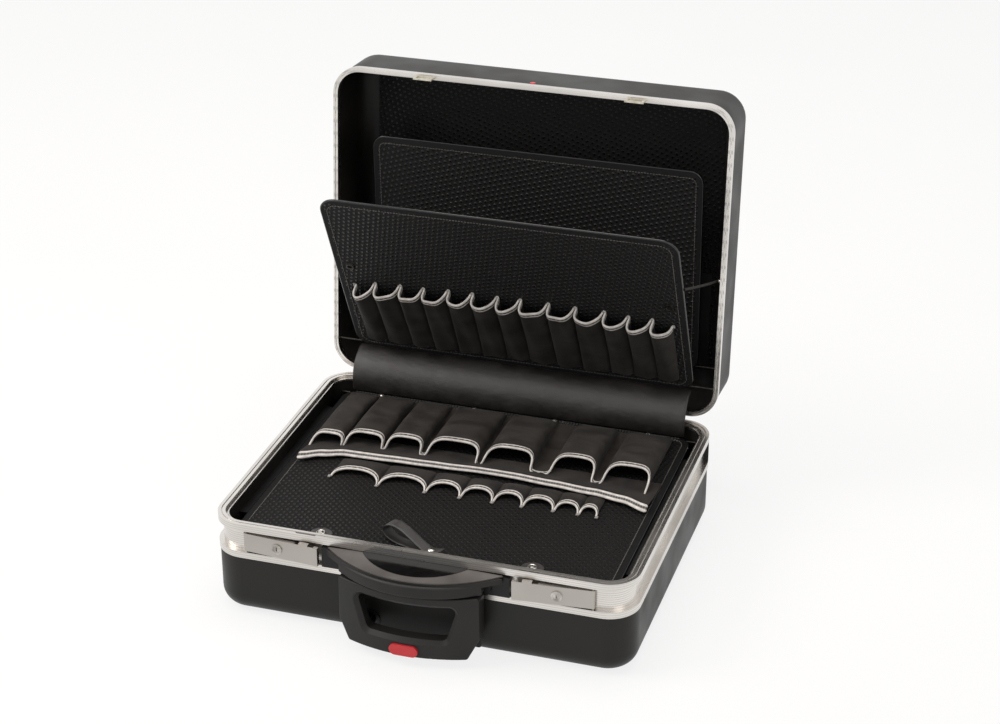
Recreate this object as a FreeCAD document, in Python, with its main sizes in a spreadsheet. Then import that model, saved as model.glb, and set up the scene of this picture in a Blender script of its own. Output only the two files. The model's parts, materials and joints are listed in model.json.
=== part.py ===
"""Hard tool case with a hinged lid, swing latches, tool boards and a sliding pull handle.

X runs to the right, Y to the back and Z up, in millimetres. The origin is the centre of the
base's footprint on the floor. The lid is drawn shut and then turned open about its hinge.
"""
import FreeCAD, Part
import math
import os
import re
import Sketcher

# Driving sizes. Each one is a cell of the sheet and can be changed by itself.
SIZES = {
    # Base shell and its metal frame
    "case_width": 490.0,
    "case_depth": 387.0,
    "case_corner": 36.0,
    "rim_height": 117.3,
    "frame_height": 43.3,
    "lower_flange": 8.0,
    "upper_flange": 8.3,
    "recess_depth": 5.8,
    "frame_thickness": 8.6,
    "rim_groove": 1.3,
    "rim_groove_depth": 0.9,
    "shell_inset": 1.0,
    "shell_wall": 3.2,
    "base_edge_round": 22.0,
    "lip_wall": 3.2,
    "lip_drop": 5.3,
    "fit_gap": 0.2,
    "seat_gap": 0.3,
    "running_gap": 0.08,
    # Lid
    "lid_gap": 0.5,
    "lid_frame_height": 8.0,
    "lid_frame_thickness": 5.6,
    "lid_rise": 83.8,
    "lid_corner": 34.0,
    "lid_wall": 4.2,
    "lid_edge_round": 25.0,
    "lid_angle": 95.0,
    "liner_thickness": 1.5,
    "document_pocket_inset": 33.0,
    "document_pocket_height": 120.0,
    "document_pocket_foot": 33.0,
    "document_pocket_thickness": 1.6,
    "cap_radius": 3.2,
    "cap_height": 1.4,
    "cap_back": 4.5,
    # Lid hinges
    "hinge_offset": 2.9,
    "knuckle_radius": 2.7,
    "hinge_pin_radius": 1.5,
    "hinge_length": 75.0,
    "hinge_inset": 105.0,
    "leaf_thickness": 1.4,
    "leaf_reach": 8.0,
    "hinge_block_width": 46.0,
    "hinge_block_depth": 30.0,
    # Latches
    "latch_inset": 44.6,
    "latch_mount_gap": 3.0,
    "latch_height": 22.5,
    "latch_rise": 10.0,
    "latch_thickness": 5.2,
    "latch_back_gap": 0.4,
    "latch_open_angle": 5.0,
    "latch_pin_radius": 1.3,
    "latch_wall": 1.2,
    "hook_inset": 17.0,
    "hook_width": 11.0,
    "hook_height": 1.2,
    "hook_reach": 3.4,
    "barrel_inset": 39.4,
    "barrel_radius": 6.3,
    "plug_radius": 4.1,
    "barrel_proud": 1.2,
    "key_slot_length": 5.0,
    "key_slot_width": 1.2,
    "striker_width": 23.0,
    "striker_leg": 3.0,
    "striker_bar": 1.5,
    "striker_thickness": 2.0,
    "striker_drop": 12.0,
    "striker_front": 2.0,
    # Carrying handle
    "mount_width": 217.0,
    "mount_apron": 176.0,
    "mount_proud": 5.5,
    "handle_rise": 15.2,
    "handle_height": 15.1,
    "hood_height": 2.6,
    "handle_half": 82.0,
    "handle_root": 14.0,
    "handle_reach": 41.8,
    "hood_half": 101.0,
    "hood_reach": 37.4,
    "hood_root": 0.5,
    "finger_reach": 23.8,
    "finger_half": 66.0,
    "finger_root": 10.0,
    "handle_skin": 3.7,
    "shield_thickness": 1.6,
    "plate_half": 60.8,
    "plate_reach": 33.4,
    "plate_thickness": 2.0,
    "shield_back": 0.4,
    # Pull handle
    "tube_place": 57.0,
    "tube_height": 21.0,
    "guide_radius": 11.0,
    "guide_back_gap": 57.0,
    "guide_wall": 1.5,
    "middle_wall": 1.4,
    "inner_wall": 1.2,
    "inner_extra": 15.0,
    "pull_travel": 240.0,
    "collar_radius": 12.4,
    "collar_depth": 14.0,
    "collar_flange": 13.2,
    "collar_lip": 1.6,
    "boss_half": 74.0,
    "boss_low": 7.6,
    "boss_high": 34.8,
    "boss_inset": 3.0,
    "boss_depth": 12.0,
    "grip_low": 11.2,
    "grip_gap": 0.5,
    "grip_half": 81.0,
    "grip_bend": 36.0,
    "grip_bend_round": 8.0,
    "grip_low_half": 68.5,
    "window_drop": 13.2,
    "window_low": 33.5,
    "window_half": 58.3,
    "window_low_half": 45.7,
    "grip_corner": 4.0,
    "window_corner": 7.0,
    "window_slope": 5.0,
    "grip_edge": 2.0,
    "grip_reach": 43.0,
    "grip_bow": 18.5,
    "grip_depth": 17.0,
    "socket_depth": 8.0,
    "button_place": 19.6,
    "button_half": 16.5,
    "button_height": 13.5,
    "button_depth": 9.0,
    "button_proud": 2.2,
    "button_travel": 2.0,
    # Wheels
    "wheel_radius": 27.0,
    "wheel_width": 20.0,
    "wheel_inset": 43.0,
    "wheel_back": 21.5,
    "wheel_height": 28.2,
    "wheel_gap": 3.0,
    "tyre_thickness": 6.0,
    "tyre_crown": 2.0,
    "hub_boss": 6.0,
    "hub_web": 4.0,
    "axle_radius": 3.0,
    # Base board
    "board_thickness": 3.5,
    "board_drop": 17.3,
    "board_side_inset": 25.0,
    "board_front_inset": 15.5,
    "board_back_inset": 14.5,
    "board_corner": 22.0,
    "rail_width": 20.0,
    "rail_height": 14.0,
    "rail_wall": 2.4,
    "pivot_radius": 1.1,
    "pivot_inset": 5.0,
    "cloth": 1.4,
    "cloth_foot": 2.6,
    "wide_pocket_rise": 15.0,
    "wide_pocket_heel": 15.0,
    "wide_pocket_length": 134.0,
    "wide_pocket_lean": 8.0,
    "band_rise": 4.0,
    "band_gap": 12.0,
    "band_bow": 28.0,
    "band_inset": 10.0,
    "loop_rise": 9.5,
    "loop_gap": 24.0,
    "loop_length": 32.0,
    "loop_lean": 4.0,
    "tab_width": 26.0,
    "tab_length": 30.0,
    "tab_inset": 97.0,
    "tab_thickness": 1.4,
    "tab_corner": 4.2,
    "tab_snap": 18.0,
    "stud_radius": 3.0,
    "stud_back": 10.5,
    "snap_radius": 4.6,
    "snap_height": 2.2,
    "strap_length": 60.0,
    "strap_rise": 13.0,
    "strap_width": 14.0,
    "strap_place": 24.0,
    "strap_turn": 37.6,
    "strap_front_gap": 40.0,
    "rivet_radius": 4.2,
    "rivet_height": 1.6,
    # Front lid board
    "front_board_foot": 36.5,
    "front_board_depth": 6.0,
    "front_board_lean": 30.8,
    "front_board_inset": 31.0,
    "front_board_short": 119.0,
    "front_board_thickness": 3.2,
    "front_board_corner": 21.0,
    "front_pocket_rise": 10.0,
    "front_pocket_foot": 14.0,
    "front_pocket_mouth": 122.0,
    "front_pocket_lean": 4.0,
    "eyelet_radius": 4.2,
    "eyelet_inset": 18.0,
    "eyelet_down": 121.0,
    "eyelet_proud": 1.2,
    # Rear lid board
    "rear_board_foot": 40.0,
    "rear_board_depth": 62.0,
    "rear_board_lean": 6.8,
    "rear_board_inset": 40.0,
    "rear_board_short": 125.0,
    "rear_board_corner": 15.0,
    "rear_pocket_rise": 9.0,
    "rear_pocket_foot": 10.0,
    "rear_pocket_mouth": 95.0,
    "rear_pocket_lean": 4.0,
    # Soft flap and check cord
    "flap_side_inset": 8.0,
    "flap_thickness": 2.6,
    "flap_bulge": 9.0,
    "cord_radius": 1.5,
    "cord_down": 86.0,
    "cord_pin_rise": 10.0,
    "cord_pin_depth": 3.0,
    "cord_pin_radius": 2.2,
    "cord_pin_length": 4.0,
    "overrun": 1.0,
}

# Sizes that follow the driving ones, each one a cell with its formula
FOLLOWERS = {
    "frame_low": "rim_height - frame_height",
    "hinge_place": "case_width / 2 - hinge_inset",
    "latch_low": "frame_low + latch_rise",
    "latch_pivot": "case_width / 2 - latch_inset",
    "latch_inner": "mount_width / 2 + latch_mount_gap",
    "hook_place": "mount_width / 2 + latch_mount_gap + hook_inset",
    "barrel_place": "case_width / 2 - latch_inset - barrel_inset",
    "handle_low": "frame_low + handle_rise",
    "handle_ledge": "handle_low + handle_height",
    "handle_crown": "handle_ledge + hood_height",
    "grip_top": "handle_low - grip_gap",
    "window_high": "grip_top - window_drop",
    "board_top": "rim_height - board_drop",
    "document_pocket_width": "case_width - 2 * document_pocket_inset",
    "guide_length": "case_depth - guide_back_gap",
    "middle_length": "case_depth - guide_back_gap",
    "inner_length": "case_depth - guide_back_gap + inner_extra",
    "wheel_place": "case_width / 2 - wheel_inset",
    "board_half": "case_width / 2 - board_side_inset",
    "board_front": "case_depth / 2 - board_front_inset",
    "board_back": "case_depth / 2 - board_back_inset",
    "wide_pocket_back": "board_back - wide_pocket_heel",
    "wide_pocket_mouth": "wide_pocket_back - wide_pocket_length",
    "band_mouth": "wide_pocket_mouth - band_gap",
    "loop_back": "loop_gap - band_mouth",
    "loop_mouth": "loop_back + loop_length",
    "tab_place": "board_half - tab_inset",
    "strap_front": "board_front - strap_front_gap",
    "front_board_half": "case_width / 2 - front_board_inset",
    "front_board_length": "case_depth - front_board_short",
    "eyelet_place": "front_board_half - eyelet_inset",
    "eyelet_up": "front_board_length - eyelet_down",
    "rear_board_half": "case_width / 2 - rear_board_inset",
    "rear_board_length": "case_depth - rear_board_short",
    "flap_half": "board_half - flap_side_inset",
    "cord_up": "front_board_length - cord_down",
    "cord_pin_up": "cord_up - cord_pin_rise",
}

# Outlines and places as shares of the sizes that they follow
WIDE_POCKET_SHARES = (-0.955, -0.784, -0.562, -0.336, -0.018, 0.318, 0.632, 0.91)
LOOP_SHARES = (-0.732, -0.459, -0.195, -0.005, 0.173, 0.332, 0.5, 0.632, 0.732)
FRONT_POCKET_SHARES = (
    -0.918, -0.793, -0.642, -0.506, -0.357, -0.216, -0.071,
    0.063, 0.224, 0.378, 0.542, 0.676, 0.81, 0.931,
)
REAR_POCKET_SHARES = (-0.9, -0.54, -0.18, 0.18, 0.54, 0.9)
POCKET_BACK_SHARE = 0.55
SNAP_SHARES = (-0.777, -0.227, 0.236, 0.768)
TUBE_BOW_SHARE = 0.58
KNUCKLES = 5

Vector = FreeCAD.Vector
doc = FreeCAD.newDocument("ToolCase")
sheet = doc.addObject("Spreadsheet::Sheet", "Sizes")
NAMED = SIZES | {alias: "=" + formula for alias, formula in FOLLOWERS.items()}
for row, (alias, size) in enumerate(NAMED.items(), start=1):
    sheet.set(f"A{row}", alias.replace("_", " "))
    sheet.setAlias(f"B{row}", alias)
    sheet.set(f"B{row}", str(size))
doc.recompute()


def bound(expression):
    """The expression with each size's name turned into its cell."""
    return re.sub(r"[a-z][a-z_]*", lambda word: "Sizes." + word[0] if word[0] in NAMED else word[0], expression)


def mm(expression):
    """The expression's value."""
    return float(sheet.evalExpression(bound(expression)))


# Places that several pieces share
HALF_X = "case_width / 2"
HALF_Y = "case_depth / 2"
RECESS_LOW = "(frame_low + lower_flange)"
RECESS_HIGH = "(rim_height - upper_flange)"
LIP_INSET = "(frame_thickness + fit_gap)"
CAVITY_INSET = "(frame_thickness + fit_gap + lip_wall)"
LID_LOW = "(rim_height + lid_gap)"
LID_SEAM = "(rim_height + lid_gap + lid_frame_height)"
LID_TOP = "(rim_height + lid_gap + lid_frame_height + lid_rise)"
HINGE_Y = "(case_depth / 2 + hinge_offset)"
HINGE_Z = "(rim_height + lid_gap / 2)"
LATCH_FACE = "(case_depth / 2 - recess_depth + latch_back_gap)"
LATCH_MIDDLE = "(case_depth / 2 - recess_depth + latch_back_gap + latch_thickness / 2)"
HANDLE_BACK = "(case_depth / 2 + fit_gap + mount_proud)"
BOSS_FACE = "(case_depth / 2 - boss_inset)"
WHEEL_Y = "(case_depth / 2 - wheel_back)"
WELL_HALF = "(wheel_width / 2 + wheel_gap)"
WELL_FRONT = "(case_depth / 2 - wheel_back - wheel_radius - wheel_gap)"
WELL_TOP = "(wheel_height + wheel_radius + wheel_gap)"
MIDDLE_RADIUS = "(guide_radius - guide_wall - running_gap)"
INNER_RADIUS = "(guide_radius - guide_wall - running_gap - middle_wall - running_gap)"
BOARD_LOW = "(board_top - board_thickness)"


def new_body(label):
    """An empty body with its own name."""
    body = doc.addObject("PartDesign::Body", label)
    body.Label = label
    return body


def sketch_on(body, role, offset="0"):
    """A sketch on one of the body's own planes, moved along its normal."""
    sketch = body.newObject("Sketcher::SketchObject", body.Name + "_sketch")
    plane = next(item for item in body.Origin.OriginFeatures if item.Role == role)
    sketch.AttachmentSupport = [(plane, "")]
    sketch.MapMode = "FlatFace"
    sketch.setExpression("AttachmentOffset.Base.z", bound(offset))
    return sketch


def dimension(sketch, kind, *where, size):
    """A constraint whose value is tied to the sheet."""
    index = sketch.addConstraint(Sketcher.Constraint(kind, *where, mm(size)))
    sketch.setExpression(f"Constraints[{index}]", bound(size))


def rectangle(sketch, left, right, low, high, corner=None):
    """A rectangle, with rounded corners where a corner size is given."""
    x0, x1, y0, y1 = mm(left), mm(right), mm(low), mm(high)
    r = mm(corner) if corner else 0
    top = sketch.GeometryCount
    sides = (
        ((x0 + r, y1), (x1 - r, y1)),
        ((x1, y1 - r), (x1, y0 + r)),
        ((x1 - r, y0), (x0 + r, y0)),
        ((x0, y0 + r), (x0, y1 - r)),
    )
    for start, end in sides:
        sketch.addGeometry(Part.LineSegment(Vector(*start, 0), Vector(*end, 0)), False)
    for side, kind in enumerate(("Horizontal", "Vertical", "Horizontal", "Vertical")):
        sketch.addConstraint(Sketcher.Constraint(kind, top + side))
    if corner:
        centres = ((x1 - r, y1 - r), (x1 - r, y0 + r), (x0 + r, y0 + r), (x0 + r, y1 - r))
        for centre, turn in zip(centres, (0, -90, 180, 90)):
            circle = Part.Circle(Vector(*centre, 0), Vector(0, 0, 1), r)
            arc = Part.ArcOfCircle(circle, math.radians(turn), math.radians(turn + 90))
            sketch.addGeometry(arc, False)
        for number in range(4):
            arc = top + 4 + number
            sketch.addConstraint(Sketcher.Constraint("Tangent", arc, 2, top + number, 2))
            sketch.addConstraint(Sketcher.Constraint("Tangent", arc, 1, top + (number + 1) % 4, 1))
        for number in range(1, 4):
            sketch.addConstraint(Sketcher.Constraint("Equal", top + 4, top + 4 + number))
        dimension(sketch, "Radius", top + 4, size=corner)
    else:
        for number in range(4):
            sketch.addConstraint(Sketcher.Constraint("Coincident", top + number, 2, top + (number + 1) % 4, 1))
    dimension(sketch, "DistanceY", -1, 1, top, 1, size=high)
    dimension(sketch, "DistanceX", -1, 1, top + 1, 1, size=right)
    dimension(sketch, "DistanceY", -1, 1, top + 2, 1, size=low)
    dimension(sketch, "DistanceX", -1, 1, top + 3, 1, size=left)


def disc(sketch, across, up, radius):
    """A circle whose centre and radius are tied to the sheet."""
    number = sketch.GeometryCount
    sketch.addGeometry(Part.Circle(Vector(mm(across), mm(up), 0), Vector(0, 0, 1), mm(radius)), False)
    dimension(sketch, "Radius", number, size=radius)
    dimension(sketch, "DistanceX", -1, 1, number, 3, size=across)
    dimension(sketch, "DistanceY", -1, 1, number, 3, size=up)


def outline(sketch, points):
    """A closed outline of corners; a corner given as (through, end) is reached by an arc."""
    ends = [point[-1] if isinstance(point[0], tuple) else point for point in points]
    first = sketch.GeometryCount
    for number, point in enumerate(points):
        start = Vector(*ends[number - 1], 0)
        end = Vector(*ends[number], 0)
        if isinstance(point[0], tuple):
            sketch.addGeometry(Part.Arc(start, Vector(*point[0], 0), end), False)
        else:
            sketch.addGeometry(Part.LineSegment(start, end), False)
    count = len(points)
    for number in range(count):
        joint = Vector(*ends[number], 0)
        sides = []
        for piece in (first + number, first + (number + 1) % count):
            near = min((1, 2), key=lambda side: (sketch.getPoint(piece, side) - joint).Length)
            sides += [piece, near]
        sketch.addConstraint(Sketcher.Constraint("Coincident", *sides))


def rounded(sketch, corners):
    """A closed outline of straight sides whose corners each have their own radius."""
    points = []
    count = len(corners)
    for number, (across, up, radius) in enumerate(corners):
        here = Vector(across, up, 0)
        before = (Vector(*corners[number - 1][:2], 0) - here).normalize()
        after = (Vector(*corners[(number + 1) % count][:2], 0) - here).normalize()
        half = before.getAngle(after) / 2
        start = here + before * (radius / math.tan(half))
        end = here + after * (radius / math.tan(half))
        middle = here + (before + after).normalize() * (radius / math.sin(half) - radius)
        points += [(start.x, start.y), ((middle.x, middle.y), (end.x, end.y))]
    outline(sketch, points)


def pad(body, sketch, length, backward=False):
    """Material along the sketch's normal, or against it."""
    feature = body.newObject("PartDesign::Pad", body.Name + "_pad")
    feature.Profile = sketch
    feature.setExpression("Length", bound(length))
    feature.Reversed = backward
    return feature


def cut(body, sketch, length, forward=False):
    """Material taken away against the sketch's normal, or along it."""
    feature = body.newObject("PartDesign::Pocket", body.Name + "_pocket")
    feature.Profile = sketch
    feature.setExpression("Length", bound(length))
    feature.Reversed = forward
    return feature


def lies_at(axis, expression):
    """A test for edges that lie level at one height along an axis."""
    place = mm(expression)

    def test(edge):
        box = edge.BoundBox
        low, high = getattr(box, axis + "Min"), getattr(box, axis + "Max")
        return max(abs(low - place), abs(high - place)) < mm("fit_gap") / 10

    return test


def runs_along(axis, expression, side_axis):
    """A test for straight edges along one axis at one place along another."""
    place = mm(expression)

    def test(edge):
        box = edge.BoundBox
        across = getattr(box.Center, side_axis.lower())
        length = getattr(box, axis + "Length")
        return abs(abs(across) - place) < mm("fit_gap") / 10 and length > edge.Length - mm("fit_gap") / 10

    return test


def round_edges(body, radius, test):
    """A fillet on each edge of the body that passes the test."""
    doc.recompute()
    tip = body.Tip
    names = [f"Edge{number}" for number, edge in enumerate(tip.Shape.Edges, 1) if test(edge)]
    fillet = body.newObject("PartDesign::Fillet", body.Name + "_round")
    fillet.Base = (tip, names)
    fillet.setExpression("Radius", bound(radius))
    return fillet


def level_block(label, left, right, low, high, floor, height, corner=None):
    """A plate or block that stands on a level outline."""
    body = new_body(label)
    sketch = sketch_on(body, "XY_Plane", floor)
    rectangle(sketch, left, right, low, high, corner)
    pad(body, sketch, height)
    return body


def ring(body, inset, corner, half_x=HALF_X, half_y=HALF_Y, offset="0"):
    """A sketch of the case's outline, moved inward by an inset."""
    sketch = sketch_on(body, "XY_Plane", offset)
    add_ring(sketch, inset, corner, half_x, half_y)
    return sketch


def add_ring(sketch, inset, corner, half_x=HALF_X, half_y=HALF_Y):
    """The case's outline, moved inward by an inset, in a sketch."""
    across = f"({half_x} - {inset})"
    along = f"({half_y} - {inset})"
    rectangle(sketch, f"-{across}", across, f"-{along}", along, f"{corner} - {inset}")


def rod(label, radius, length, start, direction):
    """A round bar from a start point along a direction."""
    bar = doc.addObject("Part::Cylinder", label)
    bar.Label = label
    bar.setExpression("Radius", bound(radius))
    bar.setExpression("Height", bound(length))
    turn = FreeCAD.Rotation(Vector(0, 0, 1), Vector(*direction))
    bar.Placement = FreeCAD.Placement(Vector(*(mm(value) for value in start)), turn)
    return bar


def tube(label, outer, bore, length, start):
    """A round tube that runs to the front from its start point, drawn about its own axis."""
    body = new_body(label)
    sketch = sketch_on(body, "XZ_Plane")
    disc(sketch, "0", "0", outer)
    disc(sketch, "0", "0", bore)
    pad(body, sketch, length)
    body.Placement.Base = Vector(*(mm(value) for value in start))
    return body


def soft(label, shape, placement=None):
    """A sub-part whose solid is made directly."""
    feature = doc.addObject("Part::Feature", label)
    feature.Label = label
    feature.Shape = shape
    if placement:
        feature.Placement = placement
    return feature


def joined(label, pieces):
    """A sub-part made of several like pieces."""
    group = doc.addObject("Part::Compound", label)
    group.Label = label
    group.Links = pieces
    return group


# The lid is drawn shut, and this turns it open about the hinge
hinge_point = Vector(0, mm(HINGE_Y), mm(HINGE_Z))
open_turn = FreeCAD.Rotation(Vector(1, 0, 0), -mm("lid_angle"))
LID_OPEN = FreeCAD.Placement(Vector(0, 0, 0), open_turn, hinge_point)


def build_base_shell():
    """Moulded tray with a lip inside the metal frame, wheel wells and a boss for the pull tubes."""
    body = new_body("base_shell")
    pad(body, ring(body, "shell_inset", "case_corner"), "frame_low")
    lip_height = "rim_height - lip_drop - frame_low"
    pad(body, ring(body, LIP_INSET, "case_corner", offset="frame_low"), lip_height)
    cut(body, ring(body, CAVITY_INSET, "case_corner", offset=WELL_TOP), "rim_height", forward=True)
    # The cavity widens below the lip
    wide = "(shell_inset + shell_wall)"
    sketch = ring(body, wide, "case_corner", offset=f"{WELL_TOP} + shell_wall")
    cut(body, sketch, f"frame_low - {WELL_TOP} - 2 * shell_wall", forward=True)
    # Its lower part leaves solid corners at the back for the wheel wells
    across = mm(f"{HALF_X} - {wide}")
    along = mm(f"{HALF_Y} - {wide}")
    corner = mm(f"case_corner - {wide}")
    notch_x = mm(f"wheel_place - {WELL_HALF} - shell_wall")
    notch_y = mm(f"{WELL_FRONT} - shell_wall")
    diagonal = corner * (1 - math.sqrt(2) / 2)
    sketch = sketch_on(body, "XY_Plane", "shell_wall")
    outline(sketch, [
        (-across, -along + corner),
        ((-across + diagonal, -along + diagonal), (-across + corner, -along)),
        (across - corner, -along),
        ((across - diagonal, -along + diagonal), (across, -along + corner)),
        (across, notch_y),
        (notch_x, notch_y),
        (notch_x, along),
        (-notch_x, along),
        (-notch_x, notch_y),
        (-across, notch_y),
    ])
    cut(body, sketch, WELL_TOP, forward=True)
    floor_edge = lies_at("Z", "shell_wall")

    def by_outer_wall(edge):
        return floor_edge(edge) and not (abs(edge.BoundBox.Center.x) > notch_x and edge.BoundBox.Center.y >= notch_y)

    round_edges(body, "base_edge_round - shell_wall", by_outer_wall)
    round_edges(body, "base_edge_round", lies_at("Z", "0"))
    # Wheel wells, open below and behind
    sketch = sketch_on(body, "XY_Plane", "-overrun")
    for side in (-1, 1):
        near = f"{side} * (wheel_place - {WELL_HALF})"
        far = f"{side} * (wheel_place + {WELL_HALF})"
        left, right = (near, far) if side > 0 else (far, near)
        rectangle(sketch, left, right, WELL_FRONT, f"{HALF_Y} + overrun")
    cut(body, sketch, f"{WELL_TOP} + overrun", forward=True)
    # Flat recessed boss that carries the collars of the pull tubes
    sketch = sketch_on(body, "XZ_Plane", BOSS_FACE)
    rectangle(sketch, "-boss_half", "boss_half", "boss_low", "boss_high", "boss_inset")
    cut(body, sketch, "boss_inset + overrun", forward=True)
    sketch = sketch_on(body, "XZ_Plane", BOSS_FACE)
    rectangle(sketch, "-boss_half", "boss_half", "boss_low", "boss_high", "boss_inset")
    pad(body, sketch, "boss_depth", backward=True)
    sketch = sketch_on(body, "XZ_Plane", f"{BOSS_FACE} + overrun")
    for side in (-1, 1):
        disc(sketch, f"{side} * tube_place", "tube_height", "collar_radius + running_gap")
    cut(body, sketch, "collar_depth + 2 * overrun")
    return body


def build_base_frame():
    """Metal rim with two flanges, a recess between them and a groove along its top."""
    body = new_body("base_frame")
    sketch = ring(body, "0", "case_corner", offset="frame_low")
    add_ring(sketch, "frame_thickness", "case_corner")
    pad(body, sketch, "rim_height - frame_low")
    sketch = ring(body, "recess_depth", "case_corner", offset=RECESS_LOW)
    add_ring(sketch, "(-overrun)", "case_corner")
    cut(body, sketch, f"{RECESS_HIGH} - {RECESS_LOW}", forward=True)
    middle = "(frame_thickness / 2 - rim_groove / 2)"
    sketch = ring(body, middle, "case_corner", offset="rim_height - rim_groove_depth")
    add_ring(sketch, f"({middle} + rim_groove)", "case_corner")
    cut(body, sketch, "rim_groove_depth + overrun", forward=True)
    # Slots that take the strikers
    sketch = sketch_on(body, "XY_Plane", RECESS_HIGH + " - overrun")
    for side in (-1, 1):
        middle = f"{side} * hook_place"
        half = "(striker_width / 2 + fit_gap)"
        front = f"-({HALF_Y} - striker_front + fit_gap * 2)"
        back = f"-({HALF_Y} - striker_front - striker_thickness - fit_gap * 2)"
        rectangle(sketch, f"{middle} - {half}", f"{middle} + {half}", front, back)
    cut(body, sketch, "upper_flange + 2 * overrun", forward=True)
    return body


def build_rails():
    """Angle rails along the lip's front and sides that the base board rests on."""
    top = mm(f"{BOARD_LOW} - seat_gap")
    reach, drop, skin = mm("rail_width"), mm("rail_height"), mm("rail_wall")
    sides = (
        ("board_rail_front", "YZ_Plane", -1, HALF_Y, "(board_half - 2 * board_corner)"),
        ("board_rail_left", "XZ_Plane", -1, HALF_X, "(board_front - 2 * board_corner)"),
        ("board_rail_right", "XZ_Plane", 1, HALF_X, "(board_front - 2 * board_corner)"),
    )
    for label, role, side, half, run in sides:
        body = new_body(label)
        sketch = sketch_on(body, role, f"-{run}")
        wall = mm(f"{half} - {CAVITY_INSET}")
        outline(sketch, [
            (side * wall, top - drop),
            (side * wall, top),
            (side * (wall - reach), top),
            (side * (wall - reach), top - skin),
            (side * (wall - skin), top - skin),
            (side * (wall - skin), top - drop),
        ])
        pad(body, sketch, f"2 * {run}")


def build_hinges():
    """Two butt hinges with three base knuckles and two lid knuckles each, and corner blocks."""
    axis_y, axis_z = mm(HINGE_Y), mm(HINGE_Z)
    radius, gap = mm("knuckle_radius"), mm("seat_gap")
    face, skin, reach = mm(HALF_Y), mm("leaf_thickness"), mm("leaf_reach")
    pins = []
    for name, side in (("left", -1), ("right", 1)):
        start = f"{side} * hinge_place - hinge_length / 2"
        for owner, way in (("base", -1), ("lid", 1)):
            body = new_body(f"{owner}_hinge_leaf_{name}")
            sketch = sketch_on(body, "YZ_Plane", start)
            # The leaf runs from its far edge to the barrel and wraps round it
            meet = math.sqrt(radius ** 2 - (axis_y - face - skin) ** 2)
            root = math.sqrt(radius ** 2 - gap ** 2)
            outline(sketch, [
                (face, axis_z + way * reach),
                (face, axis_z + way * gap),
                (axis_y - root, axis_z + way * gap),
                ((axis_y + radius, axis_z), (face + skin, axis_z + way * meet)),
                (face + skin, axis_z + way * reach),
            ])
            pad(body, sketch, "hinge_length")
            sketch = sketch_on(body, "YZ_Plane", f"{start} - overrun")
            disc(sketch, HINGE_Y, HINGE_Z, "hinge_pin_radius + running_gap")
            cut(body, sketch, "hinge_length + 2 * overrun", forward=True)
            # Gaps for the other leaf's knuckles
            sketch = sketch_on(body, "XY_Plane", f"{HINGE_Z} - knuckle_radius - seat_gap")
            for number in range(KNUCKLES):
                if (number % 2 == 1) == (owner == "base"):
                    low = f"{start} + hinge_length / {KNUCKLES} * {number} - fit_gap"
                    high = f"{start} + hinge_length / {KNUCKLES} * {number + 1} + fit_gap"
                    rectangle(sketch, low, high, f"{HALF_Y} - overrun", f"{HINGE_Y} + knuckle_radius + overrun")
            cut(body, sketch, "2 * (knuckle_radius + seat_gap)", forward=True)
            if owner == "lid":
                body.Placement = LID_OPEN
        pin = rod(f"hinge_pin_{name}", "hinge_pin_radius", "hinge_length", (start, HINGE_Y, HINGE_Z), (1, 0, 0))
        pins.append(pin)
        # Moulded block that fills the recess round the back corner
        body = new_body(f"hinge_block_{name}")
        sketch = ring(body, "0", "case_corner", offset=f"{RECESS_LOW}")
        add_ring(sketch, "recess_depth", "case_corner")
        pad(body, sketch, f"{RECESS_HIGH} - {RECESS_LOW}")
        sketch = sketch_on(body, "XY_Plane", RECESS_LOW + " - overrun")
        inner = f"{side} * ({HALF_X} - hinge_block_width)"
        outer = f"{-side} * ({HALF_X} + overrun)"
        left, right = (outer, inner) if side > 0 else (inner, outer)
        rectangle(sketch, left, right, f"-{HALF_Y} - overrun", f"{HALF_Y} + overrun")
        cut(body, sketch, f"{RECESS_HIGH} - {RECESS_LOW} + 2 * overrun", forward=True)
        sketch = sketch_on(body, "XY_Plane", RECESS_LOW + " - overrun")
        wide = f"({HALF_X} + overrun)"
        rectangle(sketch, f"-{wide}", wide, f"-{HALF_Y} - overrun", f"{HALF_Y} - hinge_block_depth")
        cut(body, sketch, f"{RECESS_HIGH} - {RECESS_LOW} + 2 * overrun", forward=True)
    joined("hinge_pins", pins)


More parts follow.
